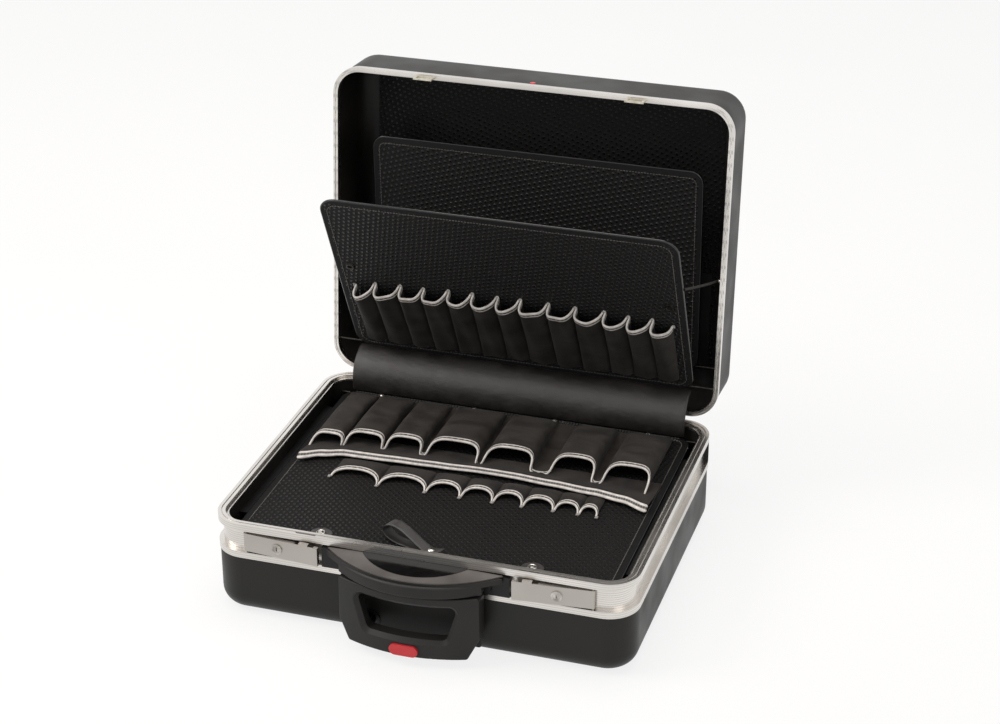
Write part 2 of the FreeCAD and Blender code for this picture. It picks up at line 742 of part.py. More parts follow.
def build_latches():
    """Swing levers with a hook at the top edge, their pins, and a turning key plug in each."""
    pins = []
    for name, side in (("left", -1), ("right", 1)):
        pin_x, pin_y = f"{side} * latch_pivot", f"-{LATCH_MIDDLE}"
        top = "(latch_low + latch_height)"
        pin = rod(f"latch_pin_{name}", "latch_pin_radius", f"{RECESS_HIGH} - {RECESS_LOW}",
                  (pin_x, pin_y, RECESS_LOW), (0, 0, 1))
        pins.append(pin)
        body = new_body(f"latch_lever_{name}")
        sketch = sketch_on(body, "XZ_Plane", LATCH_FACE)
        near = f"{side} * latch_inner"
        far = f"{side} * (latch_pivot + latch_thickness / 2)"
        left, right = (near, far) if side > 0 else (far, near)
        rectangle(sketch, left, right, "latch_low", top)
        pad(body, sketch, "latch_thickness")
        round_edges(body, "latch_thickness / 2 - running_gap / 2", runs_along("Z", "latch_pivot + latch_thickness / 2", "X"))
        # Room at the top for the striker
        hook = f"{side} * hook_place"
        sketch = sketch_on(body, "XY_Plane", top)
        half = "(striker_width / 2 + seat_gap)"
        rectangle(sketch, f"{hook} - {half}", f"{hook} + {half}",
                  f"-({LATCH_FACE} + latch_thickness - latch_wall)", f"-({LATCH_FACE} - overrun)")
        cut(body, sketch, "striker_leg")
        # The hook stands on the front wall and reaches back through the striker
        sketch = sketch_on(body, "XZ_Plane", f"{LATCH_FACE} + latch_thickness - latch_wall")
        half = "hook_width / 2"
        hook_top = f"({RECESS_HIGH} - fit_gap)"
        rectangle(sketch, f"{hook} - {half}", f"{hook} + {half}", f"{top} - overrun", hook_top)
        pad(body, sketch, "latch_wall")
        sketch = sketch_on(body, "XZ_Plane", f"{LATCH_FACE} + latch_thickness - latch_wall - hook_reach")
        rectangle(sketch, f"{hook} - {half}", f"{hook} + {half}", f"{hook_top} - hook_height", hook_top)
        pad(body, sketch, "hook_reach + latch_wall")
        # Bores for the pin and the lock barrel
        sketch = sketch_on(body, "XY_Plane", f"{top} + overrun")
        disc(sketch, pin_x, pin_y, "latch_pin_radius + running_gap")
        cut(body, sketch, "latch_height + 2 * overrun")
        sketch = sketch_on(body, "XZ_Plane", f"{LATCH_FACE} + latch_thickness + overrun")
        disc(sketch, f"{side} * barrel_place", "latch_low + latch_height / 2", "barrel_radius")
        cut(body, sketch, "latch_thickness + 2 * overrun")
        barrel = new_body(f"lock_barrel_{name}")
        sketch = sketch_on(barrel, "XZ_Plane", LATCH_FACE)
        disc(sketch, f"{side} * barrel_place", "latch_low + latch_height / 2", "barrel_radius")
        disc(sketch, f"{side} * barrel_place", "latch_low + latch_height / 2", "plug_radius + running_gap")
        pad(barrel, sketch, "latch_thickness + barrel_proud")
        plug = new_body(f"lock_plug_{name}")
        sketch = sketch_on(plug, "XZ_Plane", LATCH_FACE)
        disc(sketch, f"{side} * barrel_place", "latch_low + latch_height / 2", "plug_radius")
        pad(plug, sketch, "latch_thickness + barrel_proud - fit_gap")
        sketch = sketch_on(plug, "XZ_Plane", f"{LATCH_FACE} + latch_thickness + barrel_proud")
        middle = f"{side} * barrel_place"
        level = "(latch_low + latch_height / 2)"
        rectangle(sketch, f"{middle} - key_slot_width / 2", f"{middle} + key_slot_width / 2",
                  f"{level} - key_slot_length / 2", f"{level} + key_slot_length / 2")
        cut(plug, sketch, "latch_thickness / 2")
        # At rest the lever stands a little open
        turn = FreeCAD.Rotation(Vector(0, 0, 1), side * mm("latch_open_angle"))
        swing = FreeCAD.Placement(Vector(0, 0, 0), turn, Vector(mm(pin_x), mm(pin_y), 0))
        for piece in (body, barrel, plug):
            piece.Placement = swing
    joined("latch_pins", pins)


def handle_outline(sketch, back, half, root, reach):
    """A plan outline with a straight back, short sides and a bowed front."""
    ends = -(back + root)
    outline(sketch, [
        (-half, -back),
        (-half, ends),
        ((0, -(back + reach)), (half, ends)),
        (half, -back),
    ])


def build_handle():
    """Arched carrying handle on its mount, with a bright crescent round a blank plate."""
    mount = new_body("handle_mount")
    recess_face = "(case_depth / 2 - recess_depth)"
    low, high = f"{RECESS_LOW} + fit_gap", "handle_crown - fit_gap"
    sketch = sketch_on(mount, "XZ_Plane", recess_face)
    rectangle(sketch, "-mount_width / 2", "mount_width / 2", low, high)
    pad(mount, sketch, "recess_depth + fit_gap + mount_proud / 2")
    sketch = sketch_on(mount, "XZ_Plane", f"{HALF_Y} + fit_gap")
    half, edge, floor = mm("mount_apron / 2"), mm(high), mm("frame_low")
    slope = mm("lower_flange")
    outline(sketch, [
        (half, edge),
        (half, floor + 2 * slope),
        ((half - slope * (1 - math.sqrt(2) / 2), floor + slope * (2 - math.sqrt(2) / 2)), (half - slope, floor + slope)),
        (half - 2 * slope, floor),
        (-half + 2 * slope, floor),
        (-half + slope, floor + slope),
        ((-half + slope * (1 - math.sqrt(2) / 2), floor + slope * (2 - math.sqrt(2) / 2)), (-half, floor + 2 * slope)),
        (-half, edge),
    ])
    pad(mount, sketch, "mount_proud")

    back = mm(HANDLE_BACK)
    handle = new_body("carry_handle")
    sketch = sketch_on(handle, "XY_Plane", "handle_low")
    handle_outline(sketch, back, mm("handle_half"), mm("handle_root"), mm("handle_reach"))
    pad(handle, sketch, "handle_ledge - handle_low")
    round_edges(handle, "handle_skin", lies_at("Z", "handle_low"))
    round_edges(handle, "handle_skin", lies_at("Z", "handle_ledge"))
    sketch = sketch_on(handle, "XY_Plane", "handle_ledge - handle_skin")
    handle_outline(sketch, back, mm("hood_half"), mm("hood_root"), mm("hood_reach"))
    pad(handle, sketch, "handle_crown - handle_ledge + handle_skin")
    # Room for fingers between the arch and its mount
    sketch = sketch_on(handle, "XY_Plane", "handle_crown - handle_skin")
    spare = mm("overrun")
    handle_outline(sketch, back - spare, mm("finger_half"), mm("finger_root") + spare, mm("finger_reach") + spare)
    cut(handle, sketch, "handle_crown - handle_skin - handle_low + overrun")

    shield = new_body("handle_shield")
    sketch = sketch_on(shield, "XY_Plane", "handle_crown")
    edge = -mm(f"{HALF_Y} + shield_back")
    half, reach = mm("hood_half - fit_gap"), mm("hood_reach - fit_gap")
    inner, depth = mm("plate_half"), mm("plate_reach")
    outline(sketch, [
        (-half, edge - mm("shield_thickness")),
        ((0, -back - reach), (half, edge - mm("shield_thickness"))),
        (inner, edge),
        ((0, edge + mm("shield_back") - depth), (-inner, edge)),
    ])
    pad(shield, sketch, "shield_thickness")
    plate = new_body("handle_plate")
    sketch = sketch_on(plate, "XY_Plane", "handle_crown")
    gap = mm("fit_gap")
    outline(sketch, [
        (-inner + gap, edge),
        ((0, edge + mm("shield_back") - depth + gap), (inner - gap, edge)),
    ])
    pad(plate, sketch, "plate_thickness")


def build_pull_handle():
    """Two-stage tubes that slide out at the front, with a bowed grip and its release button."""
    pairs = {"tube_collars": [], "guide_tubes": [], "middle_tubes": [], "inner_tubes": []}
    front = f"(-{HALF_Y} - grip_reach + grip_bow * {TUBE_BOW_SHARE} + socket_depth)"
    for name, side in (("left", -1), ("right", 1)):
        across = f"{side} * tube_place"
        collar = new_body(f"tube_collar_{name}")
        sketch = sketch_on(collar, "XZ_Plane")
        disc(sketch, "0", "0", "collar_radius")
        disc(sketch, "0", "0", f"{MIDDLE_RADIUS} + running_gap")
        pad(collar, sketch, "collar_depth", backward=True)
        sketch = sketch_on(collar, "XZ_Plane")
        disc(sketch, "0", "0", "collar_flange")
        disc(sketch, "0", "0", f"{MIDDLE_RADIUS} + running_gap")
        pad(collar, sketch, "collar_lip")
        collar.Placement.Base = Vector(mm(across), -mm(BOSS_FACE), mm("tube_height"))
        pairs["tube_collars"].append(collar)
        stages = (
            ("guide_tubes", "guide_radius", "guide_wall", "guide_length", f"collar_depth - {BOSS_FACE}"),
            ("middle_tubes", MIDDLE_RADIUS, "middle_wall", "middle_length", f"-{BOSS_FACE}"),
            ("inner_tubes", INNER_RADIUS, "inner_wall", "inner_length", front),
        )
        for kind, radius, wall, length, near in stages:
            end = (across, f"{near} + {length}", "tube_height")
            pairs[kind].append(tube(f"{kind[:-1]}_{name}", radius, f"{radius} - {wall}", length, end))
    for label, pieces in pairs.items():
        joined(label, pieces)

    grip = new_body("pull_grip")
    sketch = sketch_on(grip, "XZ_Plane", HALF_Y)
    top, low, bend = mm("grip_top"), mm("grip_low"), mm("grip_bend")
    wide, narrow = mm("grip_half"), mm("grip_low_half")
    corner, turn = mm("grip_corner"), mm("grip_bend_round")
    rounded(sketch, [
        (-wide, top, corner), (-wide, bend, turn), (-narrow, low, corner),
        (narrow, low, corner), (wide, bend, turn), (wide, top, corner),
    ])
    # Its window
    ceiling, floor, corner = mm("window_high"), mm("window_low"), mm("window_corner")
    upper, lower = mm("window_half"), mm("window_low_half")
    rounded(sketch, [
        (-upper, ceiling, corner), (-lower, floor, corner), (lower, floor, corner), (upper, ceiling, corner),
    ])
    pad(grip, sketch, "grip_reach + overrun")
    # The grip bows forward in plan
    face, reach, bowed, depth = mm(HALF_Y), mm("grip_reach"), mm("grip_bow"), mm("grip_depth")
    spare, half = mm("overrun"), mm("grip_half + overrun")
    sketch = sketch_on(grip, "XY_Plane", "grip_top + overrun")
    outline(sketch, [
        (-half, -face - reach + bowed),
        ((0, -face - reach), (half, -face - reach + bowed)),
        (half, -face - reach - 2 * spare),
        (-half, -face - reach - 2 * spare),
    ])
    cut(grip, sketch, "grip_top - grip_low + 2 * overrun")
    sketch = sketch_on(grip, "XY_Plane", "grip_top + overrun")
    outline(sketch, [
        (-half, -face - reach + bowed + depth),
        ((0, -face - reach + depth), (half, -face - reach + bowed + depth)),
        (half, -face + spare),
        (-half, -face + spare),
    ])
    cut(grip, sketch, "grip_top - grip_low + 2 * overrun")
    # Sloped edges round the window, and soft ones round the outside
    radius = (half ** 2 + bowed ** 2) / (2 * bowed)
    centre = -face - reach + radius

    def on_front(edge):
        ends = (edge.FirstParameter, (edge.FirstParameter + edge.LastParameter) / 2, edge.LastParameter)
        spots = [edge.valueAt(place) for place in ends]
        return all(abs(math.hypot(spot.x, spot.y - centre) - radius) < mm("fit_gap") / 10 for spot in spots)

    def by_window(edge):
        box = edge.BoundBox
        return max(-box.XMin, box.XMax) < upper + spare and box.ZMin > floor - spare and box.ZMax < ceiling + spare

    doc.recompute()
    slope = grip.newObject("PartDesign::Chamfer", grip.Name + "_slope")
    edges = enumerate(slope.BaseFeature.Shape.Edges if slope.BaseFeature else grip.Tip.Shape.Edges, 1)
    slope.Base = (slope.BaseFeature, [f"Edge{n}" for n, edge in edges if on_front(edge) and by_window(edge)])
    slope.setExpression("Size", bound("window_slope"))
    round_edges(grip, "grip_edge", lambda edge: on_front(edge) and not by_window(edge))
    sketch = sketch_on(grip, "XZ_Plane", f"{HALF_Y} - overrun")
    for side in (-1, 1):
        disc(sketch, f"{side} * tube_place", "tube_height", f"{INNER_RADIUS} + running_gap")
    cut(grip, sketch, f"overrun + grip_reach - grip_bow * {TUBE_BOW_SHARE} - socket_depth", forward=True)
    # Recess for the button at the middle of the bar
    sketch = sketch_on(grip, "XZ_Plane", f"{HALF_Y} + grip_reach + overrun")
    button_half, button_high = "(button_half + running_gap)", "(button_height / 2 + running_gap)"
    rectangle(sketch, f"-{button_half}", button_half, f"button_place - {button_high}",
              f"button_place + {button_high}", f"{button_high} - running_gap")
    cut(grip, sketch, "button_depth + button_travel + overrun")
    button = new_body("pull_button")
    sketch = sketch_on(button, "XZ_Plane", f"{HALF_Y} + grip_reach - button_depth")
    rectangle(sketch, "-button_half", "button_half", "button_place - button_height / 2",
              "button_place + button_height / 2", "button_height / 2 - running_gap")
    pad(button, sketch, "button_depth + button_proud")


def build_wheels():
    """Wheels at the hinge side's lower corners, each a tyre on a hub that turns on its axle."""
    axles = []
    for name, side in (("left", -1), ("right", 1)):
        start = (f"{side} * wheel_place - {WELL_HALF}", WHEEL_Y, "wheel_height")
        axles.append(rod(f"wheel_axle_{name}", "axle_radius", f"2 * {WELL_HALF}", start, (1, 0, 0)))
        centre = Vector(mm(f"{side} * wheel_place"), mm(WHEEL_Y), mm("wheel_height"))
        half, tread = mm("wheel_width / 2"), mm("wheel_radius")
        rim, bore = mm("wheel_radius - tyre_thickness"), mm("axle_radius + running_gap")
        crown, hub_half = mm("tyre_crown"), mm("wheel_width / 2 + wheel_gap / 2")
        boss, web = mm("hub_boss"), mm("hub_web")
        shapes = {
            "wheel_tyre": [(-half, rim), (-half, tread - crown), ((0, tread), (half, tread - crown)), (half, rim)],
            "wheel_hub": [
                (-hub_half, bore), (-hub_half, boss), (-web, boss), (-web, rim - crown),
                (-half, rim - crown), (-half, rim), (half, rim), (half, rim - crown),
                (web, rim - crown), (web, boss), (hub_half, boss), (hub_half, bore),
            ],
        }
        for kind, points in shapes.items():
            body = new_body(f"{kind}_{name}")
            sketch = sketch_on(body, "XY_Plane")
            outline(sketch, points)
            turned = body.newObject("PartDesign::Revolution", body.Name + "_turned")
            turned.Profile = sketch
            turned.ReferenceAxis = (sketch, ["H_Axis"])
            turned.Angle = 360
            body.Placement.Base = centre
    joined("wheel_axles", axles)


def build_lid():
    """Lid frame, shell, liner, strikers, release cap and document pocket, drawn shut and opened."""
    frame = new_body("lid_frame")
    sketch = ring(frame, "0", "lid_corner", offset=LID_LOW)
    add_ring(sketch, "lid_frame_thickness", "lid_corner")
    pad(frame, sketch, "lid_frame_height")
    middle = "(lid_frame_thickness / 2 - rim_groove / 2)"
    sketch = ring(frame, middle, "lid_corner", offset=LID_LOW + " + rim_groove_depth")
    add_ring(sketch, f"({middle} + rim_groove)", "lid_corner")
    cut(frame, sketch, "rim_groove_depth + overrun")
    sketch = sketch_on(frame, "XY_Plane", LID_LOW + " - overrun")
    front = f"-({HALF_Y} - striker_front)"
    back = f"-({HALF_Y} - striker_front - striker_thickness)"
    for side in (-1, 1):
        middle = f"{side} * hook_place"
        rectangle(sketch, f"{middle} - striker_width / 2", f"{middle} + striker_width / 2", front, back)
    cut(frame, sketch, "lid_frame_height + 2 * overrun", forward=True)

    shell = new_body("lid_shell")
    pad(shell, ring(shell, "shell_inset", "lid_corner", offset=LID_SEAM), "lid_rise")
    wall = "(shell_inset + lid_wall)"
    cut(shell, ring(shell, wall, "lid_corner", offset=LID_SEAM), "lid_rise - shell_wall", forward=True)
    round_edges(shell, "lid_edge_round - shell_wall", lies_at("Z", f"{LID_TOP} - shell_wall"))
    round_edges(shell, "lid_edge_round", lies_at("Z", LID_TOP))

    floor_inset = "(shell_inset + lid_wall + lid_edge_round - shell_wall)"
    floor_x, floor_y = f"({HALF_X} - {floor_inset})", f"({HALF_Y} - {floor_inset})"
    liner_low = f"({LID_TOP} - shell_wall - liner_thickness)"
    liner = level_block("lid_liner", f"-{floor_x}", floor_x, f"-{floor_y}", floor_y, liner_low,
                        "liner_thickness", "shell_wall")
    pocket_low = f"({liner_low} - fit_gap - document_pocket_thickness)"
    pocket_back = f"({HALF_Y} - document_pocket_foot)"
    pocket = level_block("document_pocket", "-document_pocket_width / 2", "document_pocket_width / 2",
                         f"{pocket_back} - document_pocket_height", pocket_back, pocket_low,
                         "document_pocket_thickness", "shell_wall")

    placed = [frame, shell, liner, pocket]
    for name, side in (("left", -1), ("right", 1)):
        striker = new_body(f"striker_{name}")
        sketch = sketch_on(striker, "XZ_Plane", f"{HALF_Y} - striker_front - striker_thickness")
        middle = f"{side} * hook_place"
        half = "striker_width / 2"
        low = f"({LID_LOW} - striker_drop)"
        rectangle(sketch, f"{middle} - {half}", f"{middle} + {half}", low, LID_SEAM)
        window = "(striker_width / 2 - striker_leg)"
        rectangle(sketch, f"{middle} - {window}", f"{middle} + {window}", f"{low} + striker_bar",
                  f"{LID_LOW} - striker_leg")
        pad(striker, sketch, "striker_thickness")
        placed.append(striker)
    cap = rod("lid_cap", "cap_radius", "cap_height",
              ("0", f"-({HALF_Y} - shell_inset)", f"{LID_SEAM} + cap_back"), (0, -1, 0))
    for piece in placed:
        piece.Placement = LID_OPEN
    cap.Placement = LID_OPEN * cap.Placement


def board_placement(foot, depth, lean):
    """Where a lid board stands: its local Y runs up the board and its local Z faces the user."""
    edge = LID_OPEN.multVec(Vector(0, mm(HALF_Y) - foot, mm(LID_LOW) + depth))
    turn = FreeCAD.Rotation(Vector(1, 0, 0), 180 - mm("lid_angle") + lean)
    return FreeCAD.Placement(edge, turn)


def pocket_strip(valleys, foot, mouth, rise, lean, back_share):
    """A row of open-mouthed cloth pockets: a wavy strip from a low foot to an arched, leaning mouth."""
    wall, heel = mm("cloth"), mm("cloth_foot")
    wires = []
    for along, tip, share in ((foot, 0, back_share), (mouth, lean, 1)):
        shift = tip / (rise + wall)

        def spot(across, up):
            return Vector(across, along + shift * up, up)

        edges = [Part.LineSegment(spot(valleys[0] - heel, 0), spot(valleys[0] - heel, wall))]
        over, under = [], []
        for number, (left, right) in enumerate(zip(valleys, valleys[1:])):
            high = min(rise, (right - left) / 2 - 2 * heel) * share
            middle = (left + right) / 2
            start = left - heel if number == 0 else left
            end = right + heel if number == len(valleys) - 2 else right
            over.append(Part.Arc(spot(start, wall), spot((start + end) / 2, wall + high), spot(end, wall)))
            under.append((left + heel, middle, high, right - heel))
        edges += over
        edges.append(Part.LineSegment(spot(valleys[-1] + heel, wall), spot(valleys[-1] + heel, 0)))
        last = valleys[-1] + heel
        for left, middle, high, right in reversed(under):
            edges.append(Part.LineSegment(spot(last, 0), spot(right, 0)))
            edges.append(Part.Arc(spot(right, 0), spot(middle, high - wall / 4), spot(left, 0)))
            last = left
        edges.append(Part.LineSegment(spot(last, 0), spot(valleys[0] - heel, 0)))
        wires.append(Part.Wire([edge.toShape() for edge in edges]))
    strip = Part.makeLoft(wires, True, True)
    return strip if strip.Volume > 0 else strip.reversed()


def build_base_board():
    """Liftable tool board in the base with its pockets, tabs, snaps and pull strap."""
    board = level_block("base_board", "-board_half", "board_half", "-board_front", "board_back",
                        BOARD_LOW, "board_thickness", "board_corner")
    axis_y, axis_z = "(board_back - pivot_inset)", "(board_top - board_thickness / 2)"
    # The pins start at the lip, where its corner has begun to turn
    turn = f"(case_corner - {CAVITY_INSET})"
    past = f"({axis_y} + pivot_radius - {HALF_Y} + case_corner)"
    wall = f"({HALF_X} - case_corner + sqrt({turn} ^ 2 - {past} ^ 2))"
    pins = []
    for name, side in (("left", -1), ("right", 1)):
        sketch = sketch_on(board, "YZ_Plane", f"{side} * (board_half + overrun)")
        disc(sketch, axis_y, axis_z, "pivot_radius + running_gap")
        cut(board, sketch, "board_corner", forward=side < 0)
        pin = rod(f"base_board_pin_{name}", "pivot_radius", f"{wall} - board_half + board_corner - 2 * overrun",
                  (f"{side} * {wall}", axis_y, axis_z), (-side, 0, 0))
        pins.append(pin)
    joined("base_board_pins", pins)
    top, half = mm("board_top"), mm("board_half")
    seat = FreeCAD.Placement(Vector(0, 0, top), FreeCAD.Rotation())
    wide = [share * half for share in WIDE_POCKET_SHARES]
    strip = pocket_strip(wide, mm("wide_pocket_back"), mm("wide_pocket_mouth"), mm("wide_pocket_rise"),
                         mm("wide_pocket_lean"), POCKET_BACK_SHARE)
    soft("wide_pockets", strip, seat)
    small = [share * half for share in LOOP_SHARES]
    strip = pocket_strip(small, -mm("loop_back"), -mm("loop_mouth"), mm("loop_rise"), mm("loop_lean"),
                         POCKET_BACK_SHARE)
    soft("small_pockets", strip, seat)

    # Flat pocket whose mouth curves across in front of the wide pockets
    band = new_body("flat_pocket")
    sketch = sketch_on(band, "XY_Plane", "board_top")
    width, bow_depth = mm("board_half - band_inset"), mm("band_bow")
    back, middle = mm("wide_pocket_mouth - seat_gap"), mm("band_mouth")
    outline(sketch, [
        (-width, back),
        (-width, middle - bow_depth),
        ((0, middle), (width, middle - bow_depth)),
        (width, back),
    ])
    pad(band, sketch, "band_rise")

    tabs, snaps = [], []
    for name, side in (("left", -1), ("right", 1)):
        place = f"{side} * tab_place"
        tab = level_block(f"front_tab_{name}", f"{place} - tab_width / 2", f"{place} + tab_width / 2",
                          "-board_front", "-board_front + tab_length", "board_top", "tab_thickness",
                          "tab_corner")
        tabs.append(tab)
        snap = rod(f"front_snap_{name}", "snap_radius", "snap_height",
                   (place, "tab_snap - board_front", "board_top + tab_thickness"), (0, 0, 1))
        snaps.append(snap)
    joined("front_tabs", tabs)
    # Studs along the back edge, behind the wide pockets
    for number, share in enumerate(SNAP_SHARES, start=1):
        place = (f"{share} * board_half", "board_back - stud_back", "board_top")
        snaps.append(rod(f"rear_stud_{number}", "stud_radius", "snap_height", place, (0, 0, 1)))
    joined("board_snaps", snaps)

    strap = new_body("pull_strap")
    sketch = sketch_on(strap, "XZ_Plane", "-strap_width / 2")
    reach, rise, skin = mm("strap_length / 2"), mm("strap_rise"), mm("cloth")
    tail = mm("2 * rivet_radius + overrun")
    outline(sketch, [
        (-reach, 0),
        ((0, rise), (reach, skin)),
        (reach + tail, skin),
        (reach + tail, 0),
        (reach - 2 * skin, 0),
        ((0, rise - skin), (-reach + 2 * skin, 0)),
    ])
    pad(strap, sketch, "strap_width")
    turn = FreeCAD.Rotation(Vector(0, 0, 1), -mm("strap_turn"))
    strap.Placement = FreeCAD.Placement(Vector(-mm("strap_place"), -mm("strap_front"), top), turn)
    rivet = rod("strap_rivet", "rivet_radius", "rivet_height", ("0", "0", "0"), (0, 0, 1))
    rivet.Placement = strap.Placement * FreeCAD.Placement(Vector(reach + tail / 2, 0, skin), FreeCAD.Rotation())


def build_lid_board(name, half, length, corner, seat, wall, shares, pocket):
    """A tool board in the lid, drawn flat about its pivot, with a row of pockets on its face."""
    low = "-front_board_thickness / 2"
    board = level_block(f"{name}_board", f"-{half}", half, "-pivot_inset", f"{length} - pivot_inset",
                        low, "front_board_thickness", corner)
    for side in (-1, 1):
        sketch = sketch_on(board, "YZ_Plane", f"{side} * ({half} + overrun)")
        disc(sketch, "0", "0", "pivot_radius + running_gap")
        cut(board, sketch, corner, forward=side < 0)
    board.Placement = seat
    foot, mouth, rise, lean = (mm(value) for value in pocket)
    valleys = [share * mm(half) for share in shares]
    face = FreeCAD.Placement(Vector(0, 0, mm("front_board_thickness / 2")), FreeCAD.Rotation())
    strip = pocket_strip(valleys, foot, mouth, rise, -lean, POCKET_BACK_SHARE)
    soft(f"{name}_pockets", strip, seat * face)
    # Pins from the lid's side walls carry the board
    pins = []
    for side_name, side in (("left", -1), ("right", 1)):
        pin = rod(f"{name}_board_pin_{side_name}", "pivot_radius", f"{wall} - {half} + {corner} - 2 * overrun",
                  (f"{side} * {wall}", "0", "0"), (-side, 0, 0))
        pin.Placement = FreeCAD.Placement(seat.Base, FreeCAD.Rotation()) * pin.Placement
        pins.append(pin)
    joined(f"{name}_board_pins", pins)


def build_lid_boards():
    """Both lid boards, the eyelets of the front one, the soft flap and the check cord."""
    front = board_placement(mm("front_board_foot"), mm("front_board_depth"), mm("front_board_lean"))
    pocket = ("front_pocket_foot", "front_pocket_mouth", "front_pocket_rise", "front_pocket_lean")
    # The front board hangs within the frame's height, the rear one deeper in the shell
    wall = f"({HALF_X} - lid_frame_thickness)"
    build_lid_board("front", "front_board_half", "front_board_length", "front_board_corner", front, wall,
                    FRONT_POCKET_SHARES, pocket)
    rear = board_placement(mm("rear_board_foot"), mm("rear_board_depth"), mm("rear_board_lean"))
    pocket = ("rear_pocket_foot", "rear_pocket_mouth", "rear_pocket_rise", "rear_pocket_lean")
    wall = f"({HALF_X} - shell_inset - lid_wall)"
    build_lid_board("rear", "rear_board_half", "rear_board_length", "rear_board_corner", rear, wall,
                    REAR_POCKET_SHARES, pocket)
    eyelets = []
    for name, side in (("left", -1), ("right", 1)):
        eyelet = new_body(f"eyelet_{name}")
        sketch = sketch_on(eyelet, "XY_Plane", "front_board_thickness / 2")
        disc(sketch, f"{side} * eyelet_place", "eyelet_up", "eyelet_radius")
        disc(sketch, f"{side} * eyelet_place", "eyelet_up", "eyelet_radius / 2")
        pad(eyelet, sketch, "eyelet_proud")
        eyelet.Placement = front
        eyelets.append(eyelet)
    joined("eyelets", eyelets)

    # Soft flap that rolls from the base board's back edge to the front lid board
    skin = mm("flap_thickness")
    low = Vector(0, mm("board_back - 2 * flap_thickness"), mm("board_top + seat_gap + flap_thickness"))
    high = front.multVec(Vector(0, -mm("pivot_inset + seat_gap + fit_gap"), 0))
    along = high - low
    back = Vector(0, along.z, -along.y).normalize()
    belly = low + along * 0.5 - back * mm("flap_bulge")
    wire = Part.Wire([
        Part.Arc(low, belly, high).toShape(),
        Part.LineSegment(high, high + back * skin).toShape(),
        Part.Arc(high + back * skin, belly + back * skin, low + back * skin).toShape(),
        Part.LineSegment(low + back * skin, low).toShape(),
    ])
    wire.translate(Vector(-mm("flap_half"), 0, 0))
    soft("hinge_flap", Part.Face(wire).extrude(Vector(2 * mm("flap_half"), 0, 0)))

    # Check cord drawn tight from the front board's edge to a pin in the lid's wall
    edge_x = mm("front_board_half + seat_gap + cord_radius")
    start = front.multVec(Vector(edge_x, mm("cord_up"), 0))
    pin_point = Vector(mm(f"{HALF_X} - shell_inset - lid_wall"), mm(f"{HALF_Y} - cord_pin_up"),
                       mm(f"{LID_SEAM} + cord_pin_depth"))
    pin = rod("cord_pin", "cord_pin_radius", "cord_pin_length", ("0", "0", "0"), (-1, 0, 0))
    pin.Placement = LID_OPEN * FreeCAD.Placement(pin_point, FreeCAD.Rotation(Vector(0, 0, 1), Vector(-1, 0, 0)))
    head = LID_OPEN.multVec(pin_point - Vector(mm("cord_pin_length + seat_gap + cord_radius"), 0, 0))
    run = head - start
    cord = doc.addObject("Part::Cylinder", "check_cord")
    cord.Label = "check_cord"
    cord.setExpression("Radius", bound("cord_radius"))
    cord.Height = run.Length
    cord.Placement = FreeCAD.Placement(start, FreeCAD.Rotation(Vector(0, 0, 1), run))


def check_and_export():
    """Stops on any failed object, then writes each sub-part to its file."""
    doc.recompute()
    failed = [(item.Label, item.getStatusString()) for item in doc.Objects
              if "Invalid" in item.State or "Error" in item.State]
    if failed:
        raise RuntimeError(f"These have failed: {failed}")
    for item in doc.Objects:
        if item.isDerivedFrom("PartDesign::Pocket") and item.Shape.Volume >= item.BaseFeature.Shape.Volume:
            raise RuntimeError(f"{item.Label} takes nothing away")
    os.makedirs("parts", exist_ok=True)
    in_groups = {piece for item in doc.Objects if item.isDerivedFrom("Part::Compound") for piece in item.Links}
    for item in doc.Objects:
        owned = item.getParentGeoFeatureGroup() is not None or item in in_groups
        if owned or not hasattr(item, "Shape") or item.isDerivedFrom("Sketcher::SketchObject"):
            continue
        shape = item.Shape
        if shape.isNull() or not shape.isValid() or shape.Volume <= 0:
            raise RuntimeError(f"{item.Label} has no valid solid")
        shape.exportStep(f"parts/{item.Label}.step")
        print(item.Label, len(shape.Solids), round(shape.Volume))


build_base_shell()
build_base_frame()
build_rails()
build_hinges()
build_latches()
build_handle()
build_pull_handle()
build_wheels()
build_lid()
build_base_board()
build_lid_boards()
check_and_export()
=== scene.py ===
"""Looks for the hard tool case: its finishes, sewn pockets, bindings, camera and light.

Sizes in the tables are millimetres and become metres where a piece is made.
"""
import json
import math
import bpy
import bmesh
from mathutils import Matrix, Vector


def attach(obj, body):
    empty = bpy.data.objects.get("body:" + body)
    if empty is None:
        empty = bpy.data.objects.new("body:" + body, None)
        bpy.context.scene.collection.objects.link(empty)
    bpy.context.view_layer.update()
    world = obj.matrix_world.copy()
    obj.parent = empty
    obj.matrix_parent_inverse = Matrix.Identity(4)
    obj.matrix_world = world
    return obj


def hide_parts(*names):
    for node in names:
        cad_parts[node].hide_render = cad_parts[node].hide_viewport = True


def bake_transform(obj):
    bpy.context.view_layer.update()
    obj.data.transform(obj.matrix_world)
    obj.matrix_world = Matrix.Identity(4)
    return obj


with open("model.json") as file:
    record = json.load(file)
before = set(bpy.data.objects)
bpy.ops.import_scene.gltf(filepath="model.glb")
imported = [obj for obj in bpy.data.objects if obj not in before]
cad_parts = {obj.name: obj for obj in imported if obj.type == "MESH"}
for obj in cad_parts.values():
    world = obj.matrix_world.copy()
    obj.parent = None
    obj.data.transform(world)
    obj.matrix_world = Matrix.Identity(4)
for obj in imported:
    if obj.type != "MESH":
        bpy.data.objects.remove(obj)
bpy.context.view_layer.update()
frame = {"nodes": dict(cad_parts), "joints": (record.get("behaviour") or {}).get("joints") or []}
nodes = frame["nodes"]
MM = 0.001
scene = bpy.context.scene

